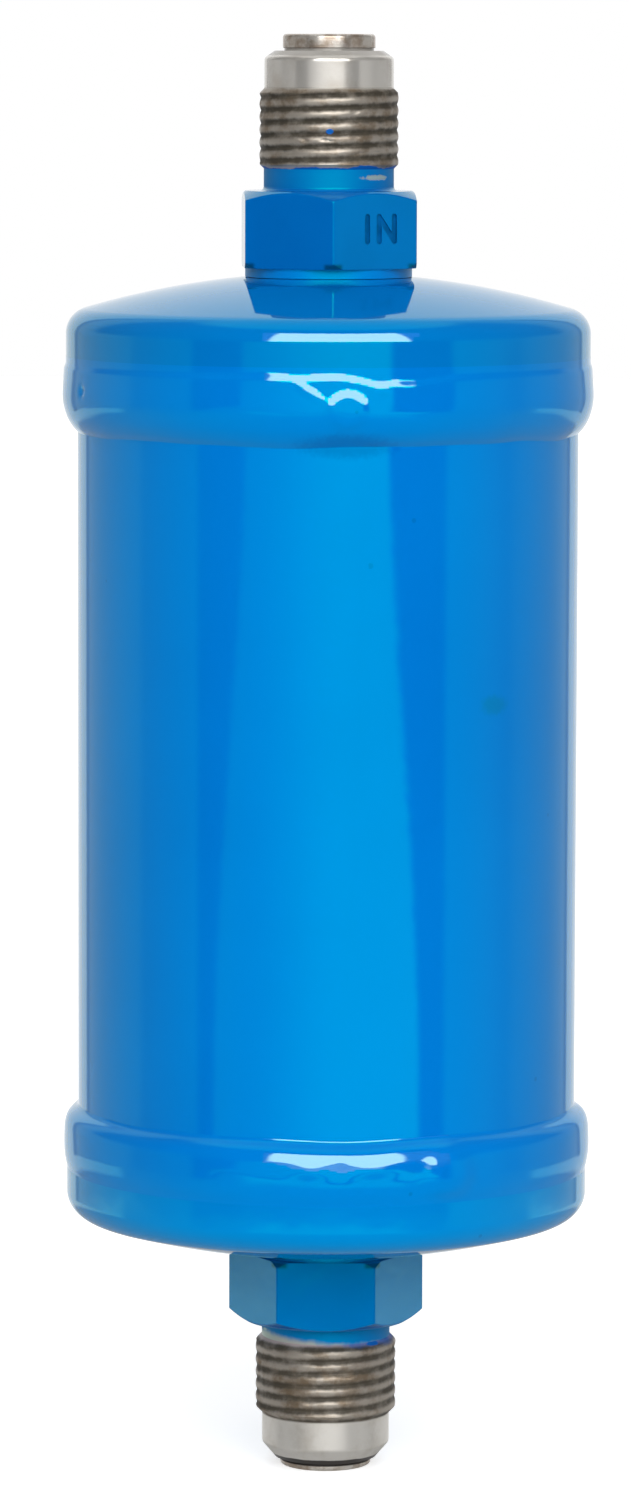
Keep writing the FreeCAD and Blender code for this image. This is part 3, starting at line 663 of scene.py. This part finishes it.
def blank_hexagon(low, height, corner_angle):
    """The hexagon, chamfered by cones: well at the nut's end, and only its corners at the cap's end."""
    made = bmesh.new()
    arc_centre = (HEX_FLATS / 2 - HEX_EDGE) / math.cos(math.radians(30))
    rounded = []
    for corner in range(6):
        turn = corner_angle + math.radians(60 * corner)
        normals = [turn + math.radians(-30 + 60 * step / HEX_CORNER_STEPS) for step in range(HEX_CORNER_STEPS + 1)]
        rounded.append([around(turn, arc_centre, 0) + around(normal, HEX_EDGE, 0) for normal in normals])
    section = []
    for edge, after in zip(rounded, rounded[1:] + rounded[:1]):
        section += edge
        section += [edge[-1].lerp(after[0], step / HEX_FLAT_STEPS) for step in range(1, HEX_FLAT_STEPS)]
    columns = []
    for point in section:
        reach = point.length
        out = point.normalized()
        edge_level = low + height - (reach - HEX_FACE_RADIUS) * HEX_FACE_SLOPE
        places = [
            (SPIGOT_RADIUS, low),
            (min(reach, HEX_SEAT_RADIUS), low),
            (reach, low + max(0.0, (reach - HEX_SEAT_RADIUS) * HEX_SEAT_SLOPE)),
            *((reach + HEX_SOFTENING * outer, edge_level + HEX_SOFTENING * upper) for outer, upper in HEX_SOFTENED),
            (HEX_FACE_RADIUS, low + height),
            (SPIGOT_RADIUS, low + height),
        ]
        column = {place: made.verts.new(out * place[0] + Vector((0, 0, place[1]))) for place in places}
        columns.append([column[place] for place in places])
    skin(made, columns)
    return finished(made, "hexagon")


def stamp(hexagon, face_angle, strokes):
    """Sinks straight strokes with round ends into one face of the hexagon."""
    outwards = around(face_angle, 1, 0)
    across = Vector((math.cos(face_angle), math.sin(face_angle), 0))
    middle = outwards * HEX_FLATS / 2 + Vector((0, 0, LETTER_LEVEL))
    for start, end, depth in strokes:
        cut = bmesh.new()
        lean = math.atan2(end[1] - start[1], end[0] - start[0])
        rim = []
        for tip, turn in ((end, lean - math.pi / 2), (start, lean + math.pi / 2)):
            rim += arc(tip, LETTER_WIDTH / 2, math.degrees(turn), math.degrees(turn) + 180, 6)
        sole, lid = (
            [cut.verts.new(middle + across * u + Vector((0, 0, v)) + outwards * lift) for u, v in rim]
            for lift in (-depth, depth))
        cut.faces.new(sole)
        cut.faces.new(lid)
        skin(cut, [lid, sole], closed=False)
        cutter = finished(cut, "stroke")
        cutter.data.polygons.foreach_set("material_index", [IN_LETTERS] * len(cutter.data.polygons))
        sinking = hexagon.modifiers.new("stroke", "BOOLEAN")
        sinking.operation = "DIFFERENCE"
        sinking.solver = "EXACT"
        sinking.material_mode = "INDEX"
        sinking.object = cutter
        sunk = hexagon.evaluated_get(bpy.context.evaluated_depsgraph_get())
        hexagon.data = bpy.data.meshes.new_from_object(sunk)
        hexagon.modifiers.clear()
        bpy.data.objects.remove(cutter)


def turned_stem(name, low, hex_low, hex_top, tip, cone_height, cone_end_radius, crest, root, valley, nicks):
    """All that is turned about the axis, in one closed skin: spigot, neck, helical thread, pilot, nose and port. A
    valley of the thread passes through the valley's angle and level."""
    pilot_end = tip - NOSE_LENGTH
    end = pilot_end - PILOT_LENGTH
    foot = end - THREAD_LENGTH
    ledge = pilot_end + cone_height
    groove = LIP_RADIUS - GROOVE_DEPTH
    below = [
        (PORT_RADIUS + PORT_CHAMFER, low),
        (SPIGOT_RADIUS, low),
        (SPIGOT_RADIUS, hex_low),
        (NECK_RADIUS, hex_low),
        (NECK_RADIUS + NECK_FILLET, hex_top),
        *arc((NECK_RADIUS + NECK_FILLET, hex_top + NECK_FILLET), NECK_FILLET, 270, 180, 6),
        (NECK_RADIUS, foot),
    ]
    cone_slope = math.atan2(PILOT_RADIUS - cone_end_radius, cone_height)
    shoulder = pilot_end - SHOULDER_ROUNDING * math.tan(cone_slope / 2)
    beyond = [
        (PILOT_RADIUS, end),
        (PILOT_RADIUS, end + 0.4 * MM),
        (PILOT_RADIUS, shoulder - 0.2 * MM),
        *arc((PILOT_RADIUS - SHOULDER_ROUNDING, shoulder), SHOULDER_ROUNDING, 0, math.degrees(cone_slope), 8),
        (cone_end_radius, ledge),
        (groove, ledge),
        (groove, ledge + GROOVE_WIDTH),
        (LIP_RADIUS - 0.05 * MM, ledge + GROOVE_WIDTH),
        (LIP_RADIUS, ledge + GROOVE_WIDTH + LIP_EDGE),
        *arc((LIP_RADIUS - LIP_ROUNDING, tip - LIP_ROUNDING), LIP_ROUNDING, 0, 90, 6),
        (PORT_RADIUS + PORT_CHAMFER, tip),
        (PORT_RADIUS, tip - PORT_CHAMFER),
        (PORT_RADIUS, low + PORT_CHAMFER),
    ]
    first_turn = math.floor((foot - valley[1]) / THREAD_PITCH) - 2
    last_turn = math.ceil((end - valley[1]) / THREAD_PITCH) + 1
    rows = [(turn, row / THREAD_ROWS) for turn in range(first_turn, last_turn + 1) for row in range(THREAD_ROWS)]

    def waves(angle, level, size, shift=0.0):
        return noise.noise(around(angle, size[0], level * size[1] + shift))

    def thread_point(angle, turn, phase):
        share = (angle - valley[0]) / math.tau
        level = min(max(valley[1] + THREAD_PITCH * (turn + phase + share), foot), end)
        place = (level - valley[1]) / THREAD_PITCH - share
        full = abs(math.sin(math.pi * place)) ** THREAD_ROUNDNESS
        fade = min((level - foot) / THREAD_RUN_IN, (end - level) / THREAD_RUN_OUT, 1)
        radius = crest - (crest - root) * (1 - full) * fade
        radius = min(radius, NECK_RADIUS + (level - foot), PILOT_RADIUS + (end - level))
        worn = waves(angle, level, WEAR_WAVES) * CREST_WEAR
        nick = max(0.0, waves(angle, level, NICK_WAVES, nicks) - NICK_RARITY) * NICK_DEPTH
        return radius + (worn - nick) * full ** 3 * min(fade * 2, 1), level

    made = bmesh.new()
    columns = []
    for step in range(THREAD_STEPS):
        angle = math.tau * step / THREAD_STEPS
        points = [*below, *(thread_point(angle, *row) for row in rows), *beyond]
        columns.append([made.verts.new(around(angle, *point)) for point in points])
    # The thread climbs one pitch in a whole turn, so the last column meets the first one's thread that much higher.
    before, thread, after = columns[0][:len(below)], columns[0][len(below):-len(beyond)], columns[0][-len(beyond):]
    columns.append(before + thread[THREAD_ROWS:] + thread[-1:] * THREAD_ROWS + after)
    skin(made, columns, closed=False)
    return finished(made, name, sharp_angle=28)


# Turning marks: the fine rings that a lathe tool leaves, as noise that changes quickly along the axis only.
turning_marks, marks_point, marks_scale = shader_group("turning_marks", "Height", Scale=6000.0)
marks_height = grain(marks_point.reckon_vector("MULTIPLY", (0.02, 0.02, 1.0)), marks_scale)
add_node(turning_marks, "NodeGroupOutput", {"Height": marks_height})

STEEL_SHINE, STEEL_SHEEN = 1.3, grey(1.0)
STEEL = (0.65, 0.625, 0.58, 1)
STEEL_TARNISHED = (0.54, 0.505, 0.45, 1)
STEEL_METAL, DIRTY_METAL = 0.7, 0.3
NECK_STEEL = (0.37, 0.31, 0.3, 1)
SCRAPED_STEEL = (0.26, 0.31, 0.35, 1)
NOSE_STAIN = (0.25, 0.17, 0.11, 1)
# Painted shadow in the groove under the nose's lip, and how far below the ledge it reaches.
GROOVE_SHADE, GROOVE_SHADE_REACH = (0.02, 0.016, 0.014, 1), 0.4 * MM
THREAD_STEEL = (0.38, 0.34, 0.29, 1)
THREAD_STAIN = (0.2, 0.15, 0.1, 1)
# Dirt and painted shade in the thread's roots.
THREAD_DIRT_AND_SHADE = (0.05, 0.042, 0.03, 1)
THREAD_ROUGHNESS, DIRT_ROUGHNESS = 0.38, 0.3
TURNING_WEIGHT = 0.9
# The fittings' enamel is painted darker than the shell's: painted shade, for the shade the lower hexagon lies in
# under the drier.
FITTING_SHADED_BLUE = (0.0, 0.125, 0.46, 1)
FITTING_SHADED_POOLED = (0.0, 0.11, 0.42, 1)
NECK_BLUE = (0.0, 0.105, 0.42, 1)
# Painted shade in the hexagon's corners, over their seat.
CORNER_SHADE = (0.0, 0.03, 0.1, 1)
LETTER_DARK, LETTER_BLUE = (0.0, 0.06, 0.22, 1), (0.0, 0.09, 0.32, 1)
HEX_ROUGHNESS, NECK_ROUGHNESS = 0.08, 0.6
PAINT_RAGGED = 1.1 * MM
PAINT_THICKNESS = 6.0
# Levels on both fittings, from the drier's middle, at which one look gives way to the next.
NECK_PAINT = 63.4 * MM, 63.9 * MM
NECK_DULLS = 63.5 * MM, 63.9 * MM
NECK_ENDS = 65.9 * MM, 66.4 * MM
THREAD_LOOK = 65.7 * MM, 66.2 * MM, 74.5 * MM, 74.9 * MM


def fitting_finish(
        name, shine, sheen, way, seat, ledge, valley, paint_end, blend, slant, thread_dirt_and_shade, groove_shade_share, polish,
        chip, fleck):
    """Enamel over the hexagon and neck, bare turned steel beyond it. Way is 1 for the inlet end and -1 for the outlet
    end, the hexagon's seat and the nose's ledge are levels, and the valley is a point in the thread's root."""
    made, tree = new_material(name)
    point = place_on_object(tree)
    x, y, z = point.split()
    level = z * float(way)
    angle = x.reckon("ARCTAN2", y * -float(way))

    # Where the enamel is gone: past its ragged end and where it was chipped, but not at the stray fleck.
    ragged = grain(point, 420.0, 3.0) * -PAINT_RAGGED + level + x * -slant
    paint_middle = paint_end - PAINT_RAGGED / 2
    chipped = use_group(tree, patch, Place=chip[0], Reach=chip[1], Ragged=0.8)
    spotted = use_group(tree, patch, Place=fleck[0], Reach=fleck[1], Ragged=0.5)
    bare = ragged.ramp(paint_middle - blend, paint_middle + blend).reckon("MAXIMUM", chipped) - spotted
    bare = bare.reckon("MAXIMUM", 0.0)

    # The enamel, painted darker than the shell's as painted shade, with painted shade in the hexagon's corners over
    # its seat.
    off_axis = point.reckon_vector("MULTIPLY", (1.0, 1.0, 0.0)).reckon_vector("LENGTH", out="Value")
    shaded_corner = off_axis.ramp(HEX_SEAT_RADIUS - 0.1 * MM, HEX_SEAT_RADIUS + 0.15 * MM)
    shaded_corner *= level.ramp(seat + 0.35 * MM, seat + 0.8 * MM, 0.85, 0.0)
    blue = mottle(point, 90.0, 0.35, 0.75).mix(FITTING_SHADED_BLUE, FITTING_SHADED_POOLED)
    blue = level.ramp(*NECK_PAINT).mix(blue, NECK_BLUE)
    blue = shaded_corner.mix(blue, CORNER_SHADE)

    # The steel, with dirt and painted shade deep in the thread, painted shadow in the groove, and stains on its
    # crests and the lip.
    in_thread = level.band(*THREAD_LOOK)
    on_neck = level.ramp(*NECK_ENDS, 1.0, 0.0)
    turns = (level - valley[1]) * (1 / THREAD_PITCH) + angle * (-1 / math.tau) + valley[0] / math.tau
    from_crest = abs(turns.reckon("FRACT") - 0.5)
    deep = (grain(point, 650.0, 5.0, 0.65) * 0.42 + from_crest).ramp(0.28, 0.6)
    caked = mottle(point, 500.0, 0.25, 0.6, 0.6, 1.0, detail=4.0, roughness=0.6)
    dirt_and_shade = deep * caked * in_thread * thread_dirt_and_shade
    stained = mottle(point, 330.0, 0.42, 0.68, detail=4.0, roughness=0.6) * in_thread
    lip_stained = mottle(point, 420.0, 0.4, 0.62, 0.15, 0.75, detail=4.0, roughness=0.65)
    lip_stained *= level.ramp(ledge + 0.1 * MM, ledge + 0.4 * MM)
    shaded_groove = grain(point, 350.0, 3.0) * (0.35 * MM) + level
    shaded_groove = shaded_groove.ramp(ledge - GROOVE_SHADE_REACH, ledge - GROOVE_SHADE_REACH + 0.1 * MM)
    shaded_groove *= level.ramp(ledge + GROOVE_WIDTH, ledge + GROOVE_WIDTH + 0.15 * MM, groove_shade_share, 0.0)
    steel = mottle(point, 260.0, 0.42, 0.75, detail=5.0, roughness=0.65).mix(STEEL, STEEL_TARNISHED)
    for share, colour in (
        (in_thread, THREAD_STEEL),
        (stained, THREAD_STAIN),
        (on_neck, NECK_STEEL),
        (chipped, SCRAPED_STEEL),
        (lip_stained, NOSE_STAIN),
        (shaded_groove, GROOVE_SHADE),
        (dirt_and_shade, THREAD_DIRT_AND_SHADE),
    ):
        steel = share.mix(steel, colour)

    steel_roughness = dirt_and_shade * DIRT_ROUGHNESS + in_thread.ramp(0.0, 1.0, polish, THREAD_ROUGHNESS)
    enamel_roughness = level.ramp(*NECK_DULLS, HEX_ROUGHNESS, NECK_ROUGHNESS)
    dull = chipped.reckon("MAXIMUM", shaded_groove).reckon("MAXIMUM", on_neck)
    marks = use_group(tree, turning_marks, Scale=7000.0)
    peel = use_group(tree, orange_peel, Scale=500.0, Swell=1.2)
    show(
        tree, Base_Color=bare.mix(blue, steel), IOR=shine, Specular_Tint=sheen,
        Metallic=bare * dirt_and_shade.ramp(0.0, 1.0, STEEL_METAL, DIRTY_METAL) * (1.0 - dull),
        Roughness=bare * (steel_roughness - enamel_roughness) + enamel_roughness,
        Normal=bump(marks * bare * TURNING_WEIGHT + bare * -PAINT_THICKNESS + peel, PEEL_DEPTH))
    return made


# The stamped letters, in a darker mottled blue than the hexagon's enamel.
letter_finish, letter_tree = new_material("letter_dark")
letter_shade = mottle(place_on_object(letter_tree), 900.0, 0.3, 0.7)
show(
    letter_tree, Base_Color=letter_shade.mix(LETTER_DARK, LETTER_BLUE),
    Roughness=letter_shade.ramp(0.0, 1.0, 0.5, 0.3), Specular_Tint=ENAMEL_SHEEN)


def flare_fitting(end, way, seat_height, hex_height, corner_angle, strokes, wear, **turned):
    """A whole fitting, made in the inlet's position and turned over for the outlet."""
    low, tip = sorted(way * corner.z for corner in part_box(f"{end}_fitting"))
    hex_low = low + SPIGOT_REACH + seat_height
    hex_top = hex_low + hex_height
    thread_foot = tip - NOSE_LENGTH - PILOT_LENGTH - THREAD_LENGTH
    places = way, hex_low, tip - NOSE_LENGTH + turned["cone_height"], turned["valley"]
    finishes = (
        fitting_finish(f"{end}_fitting_painted", ENAMEL_SHINE, ENAMEL_SHEEN, *places, **wear),
        fitting_finish(f"{end}_fitting_bare", STEEL_SHINE, STEEL_SHEEN, *places, **wear),
        letter_finish,
    )
    hexagon = blank_hexagon(hex_low, hex_height, corner_angle)
    stem = turned_stem(f"{end}_flare_fitting", low, hex_low, hex_top, tip, **turned)
    for finish in finishes:
        hexagon.data.materials.append(finish)
        stem.data.materials.append(finish)
    stamp(hexagon, corner_angle + math.radians(30), strokes)
    hexagon.data.shade_smooth()
    hexagon.data.set_sharp_from_angle(angle=math.radians(HEX_SHARP_ANGLE))
    for face in stem.data.polygons:
        face.material_index = BARE_END if face.center.z > thread_foot else PAINTED_END
    both = bmesh.new()
    both.from_mesh(stem.data)
    both.from_mesh(hexagon.data)
    both.to_mesh(stem.data)
    both.free()
    bpy.data.objects.remove(hexagon)
    if way < 0:
        stem.data.transform(Matrix.Rotation(math.pi, 4, "X"))
    put_in_place(stem, f"{end}_fitting", "fitting_steel")


# A chip or a fleck has a place and its reach to each side.
flare_fitting(
    "inlet", 1, seat_height=0.8 * MM, hex_height=8.5 * MM, corner_angle=math.radians(2.8), strokes=LETTER_STROKES,
    cone_height=0.8 * MM, cone_end_radius=6.05 * MM, crest=7.74 * MM, root=7.56 * MM, valley=(0.0, 74.0 * MM),
    nicks=0.0, wear={
        "paint_end": 66.1 * MM, "blend": 0.06 * MM, "slant": 0.0, "thread_dirt_and_shade": 1.0, "groove_shade_share": 0.4,
        "polish": 0.19,
        "chip": ((5.3 * MM, -4.9 * MM, 64.9 * MM), (3.2 * MM, 3.2 * MM, 0.5 * MM)),
        "fleck": ((0.1 * MM, -7.6 * MM, 70.0 * MM), (0.6 * MM, 0.7 * MM, 0.4 * MM)),
    })
flare_fitting(
    "outlet", -1, seat_height=0.4 * MM, hex_height=7.85 * MM, corner_angle=math.radians(30), strokes=(),
    cone_height=1.7 * MM, cone_end_radius=5.75 * MM, crest=7.93 * MM, root=7.76 * MM, valley=(math.pi, 66.22 * MM),
    nicks=40.0, wear={
        "paint_end": 65.6 * MM, "blend": 0.4 * MM, "slant": 0.08, "thread_dirt_and_shade": 0.95, "groove_shade_share": 0.97,
        "polish": 0.3,
        "chip": ((-7.0 * MM, -2.4 * MM, -64.9 * MM), (1.0 * MM, 1.0 * MM, 0.3 * MM)),
        "fleck": ((5.2 * MM, -5.0 * MM, -66.0 * MM), (1.2 * MM, 1.2 * MM, 0.3 * MM)),
    })

# Outlet plate, spring cup and core spring. The plate and the cup are pressed and punched from bright steel strip, and
# the spring is wound from drawn wire. They keep a film of drawing oil, and a little colour from the welding heat.
PRESSED_STEEL = (0.52, 0.51, 0.49, 1), (0.4, 0.38, 0.33, 1)
SPRING_STEEL = (0.36, 0.35, 0.34, 1), (0.2, 0.19, 0.18, 1)
CLEAN_ROUGHNESS, OILY_ROUGHNESS = 0.32, 0.46
MARKS_DEPTH = 0.004 * MM


def bright_steel(name, clean, oiled, mark_scale):
    """Bare steel with the fine lines of its drawing and a patchy film of oil."""
    made, tree = new_material(name)
    oily = mottle(place_on_object(tree), 120.0, 0.4, 0.7, detail=4.0, roughness=0.6)
    show(
        tree, Base_Color=oily.mix(clean, oiled), Metallic=1.0,
        Roughness=oily.ramp(0.0, 1.0, CLEAN_ROUGHNESS, OILY_ROUGHNESS),
        Normal=bump(use_group(tree, turning_marks, Scale=mark_scale), MARKS_DEPTH))
    return made


pressed_finish = bright_steel("pressed_steel", *PRESSED_STEEL, 3000.0)
wire_finish = bright_steel("spring_wire", *SPRING_STEEL, 9000.0)
for node, finish in (
    ("outlet_plate", pressed_finish),
    ("spring_cup", pressed_finish),
    ("core_spring", wire_finish),
):
    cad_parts[node].material_slots[0].material = finish

# Outlet screen. A disc of plain-woven stainless wire lies on the outlet plate and keeps grains of the core out of the
# line. Its wires pass over and under each other by turns.
SCREEN_PITCH = 1.35 * MM
SCREEN_WIRE_RADIUS = 0.12 * MM
WIRE_SIDES = 6
STEPS_PER_PITCH = 4
STAINLESS = (0.55, 0.55, 0.54, 1), (0.45, 0.44, 0.42, 1)

screen_low, screen_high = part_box("outlet_screen")
screen_radius = screen_high.x - SCREEN_WIRE_RADIUS
screen_middle = (screen_low.z + screen_high.z) / 2
weave_rise = (screen_high.z - screen_low.z) / 2 - SCREEN_WIRE_RADIUS
woven = bmesh.new()
wire_count = int(screen_radius / SCREEN_PITCH)
for number in range(-wire_count, wire_count + 1):
    aside = number * SCREEN_PITCH
    half = math.sqrt(screen_radius ** 2 - aside ** 2)
    steps = max(2, round(2 * half / SCREEN_PITCH * STEPS_PER_PITCH))
    for crossing in (False, True):
        over = math.pi * (number + crossing)
        rings = []
        for step in range(steps + 1):
            along = -half + 2 * half * step / steps
            lift = screen_middle + weave_rise * math.cos(math.pi * along / SCREEN_PITCH + over)
            ring = []
            for side in range(WIRE_SIDES):
                turn = math.tau * side / WIRE_SIDES
                wide = aside + SCREEN_WIRE_RADIUS * math.cos(turn)
                high = lift + SCREEN_WIRE_RADIUS * math.sin(turn)
                ring.append(woven.verts.new((wide, along, high) if crossing else (along, wide, high)))
            rings.append(ring)
        skin(woven, rings, closed=False)
        woven.faces.new(rings[0])
        woven.faces.new(rings[-1])
stainless_finish = bright_steel("stainless_wire", *STAINLESS, 9000.0)
wire_screen = finished(woven, "wire_screen", sharp_angle=60)
put_in_place(wire_screen, "outlet_screen", "wire_mesh", stainless_finish)

# Felt layers. The core is held between a wool felt disc under the spring cup and a felt ring with a polyester mat at
# the outlet. All are cut from sheet, and their cut edges are soft and a little uneven.
FELT_ROUNDING = 0.55 * MM
FELT_UNEVEN, FELT_WAVE = 0.09 * MM, 4 * MM
FELT_RINGS, FELT_STEPS = 14, 120
FELT_SHADE, FELT_PALE = (0.6, 0.57, 0.5, 1), (0.82, 0.8, 0.73, 1)
MAT_SHADE, MAT_PALE = (0.66, 0.68, 0.68, 1), (0.86, 0.87, 0.86, 1)
GASKET_BORE = 12 * MM
DISC_BORE = 0.2 * MM


def felt_finish(name, pale, shade, fibre_scale, depth):
    """Matted fibres, lying every way, with a faint fuzz."""
    made, tree = new_material(name)
    point = place_on_object(tree)
    fibres = grain(point, fibre_scale, 5.0, 0.7, 2.5)
    tufts = grain(point, fibre_scale * 0.18, 3.0, 0.6)
    show(
        tree, Base_Color=(fibres * tufts).ramp(0.1, 0.42).mix(shade, pale),
        Roughness=tufts.ramp(0.3, 0.7, 0.85, 0.98), Sheen_Weight=0.35, Sheen_Roughness=0.5,
        Normal=bump(tufts * 1.5 + fibres, depth))
    return made


def felt_layer(name, node, bore, seed, finish):
    """A disc or ring of felt in the space of its solid, with rounded rims and a slightly uneven face."""
    low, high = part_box(node)
    bottom, top = low.z + FELT_UNEVEN, high.z - FELT_UNEVEN
    inside, outside = bore + FELT_UNEVEN, high.x - FELT_UNEVEN
    radii = [inside + (outside - inside) * ring / FELT_RINGS for ring in range(1, FELT_RINGS)]
    near, far = inside + FELT_ROUNDING, outside - FELT_ROUNDING
    lower, upper = bottom + FELT_ROUNDING, top - FELT_ROUNDING
    outline = [
        *((radius, bottom) for radius in radii),
        *arc((far, lower), FELT_ROUNDING, -90, 0, 4),
        *arc((far, upper), FELT_ROUNDING, 0, 90, 4),
        *((radius, top) for radius in reversed(radii)),
        *arc((near, upper), FELT_ROUNDING, 90, 180, 4),
        *arc((near, lower), FELT_ROUNDING, 180, 270, 4),
    ]

    def shape(angle, number, radius, level):
        spot = around(angle, radius, level) / FELT_WAVE + Vector((seed, 0, 0))
        return radius + FELT_UNEVEN * noise.noise(spot * 2), level + FELT_UNEVEN * noise.noise(spot)

    layer = lathe(name, outline, shape, FELT_STEPS)
    put_in_place(layer, node, "felt", finish)


wool_felt = felt_finish("wool_felt", FELT_PALE, FELT_SHADE, 2600.0, 0.12 * MM)
polyester = felt_finish("polyester_mat", MAT_PALE, MAT_SHADE, 1500.0, 0.2 * MM)
felt_layer("felt_disc", "inlet_pad", DISC_BORE, 1.3, wool_felt)
felt_layer("felt_ring", "core_gasket", GASKET_BORE, 5.1, wool_felt)
felt_layer("polyester_mat", "outlet_pad", DISC_BORE, 9.4, polyester)

# Desiccant core. Grains of molecular sieve and alumina are pressed in a mould with a binder and baked, which leaves a
# hard, porous block with a sandy face and a few darker grains.
CORE_BUFF, CORE_SHADE = (0.74, 0.66, 0.53, 1), (0.56, 0.48, 0.36, 1)
CORE_DARK_GRAIN = (0.34, 0.27, 0.19, 1)
CORE_RELIEF = 0.12 * MM

core_finish, core_tree = new_material("moulded_desiccant")
core_point = place_on_object(core_tree)
core_cells = add_node(core_tree, "ShaderNodeTexVoronoi", {"Vector": core_point, "Scale": 1100.0}).outputs
core_pits = Field(core_cells["Distance"]).ramp(0.15, 0.65, 1.0, 0.0)
core_mottle = mottle(core_point, 240.0, 0.35, 0.7, detail=5.0, roughness=0.6)
core_dark = use_group(core_tree, specks, Scale=700.0, Share=0.06)
show(
    core_tree, Base_Color=core_dark.mix(core_mottle.mix(CORE_BUFF, CORE_SHADE), CORE_DARK_GRAIN),
    Roughness=core_pits.ramp(0.0, 1.0, 0.95, 0.82), Normal=bump(core_mottle * 0.6 + core_pits, CORE_RELIEF))
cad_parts["desiccant_core"].material_slots[0].material = core_finish
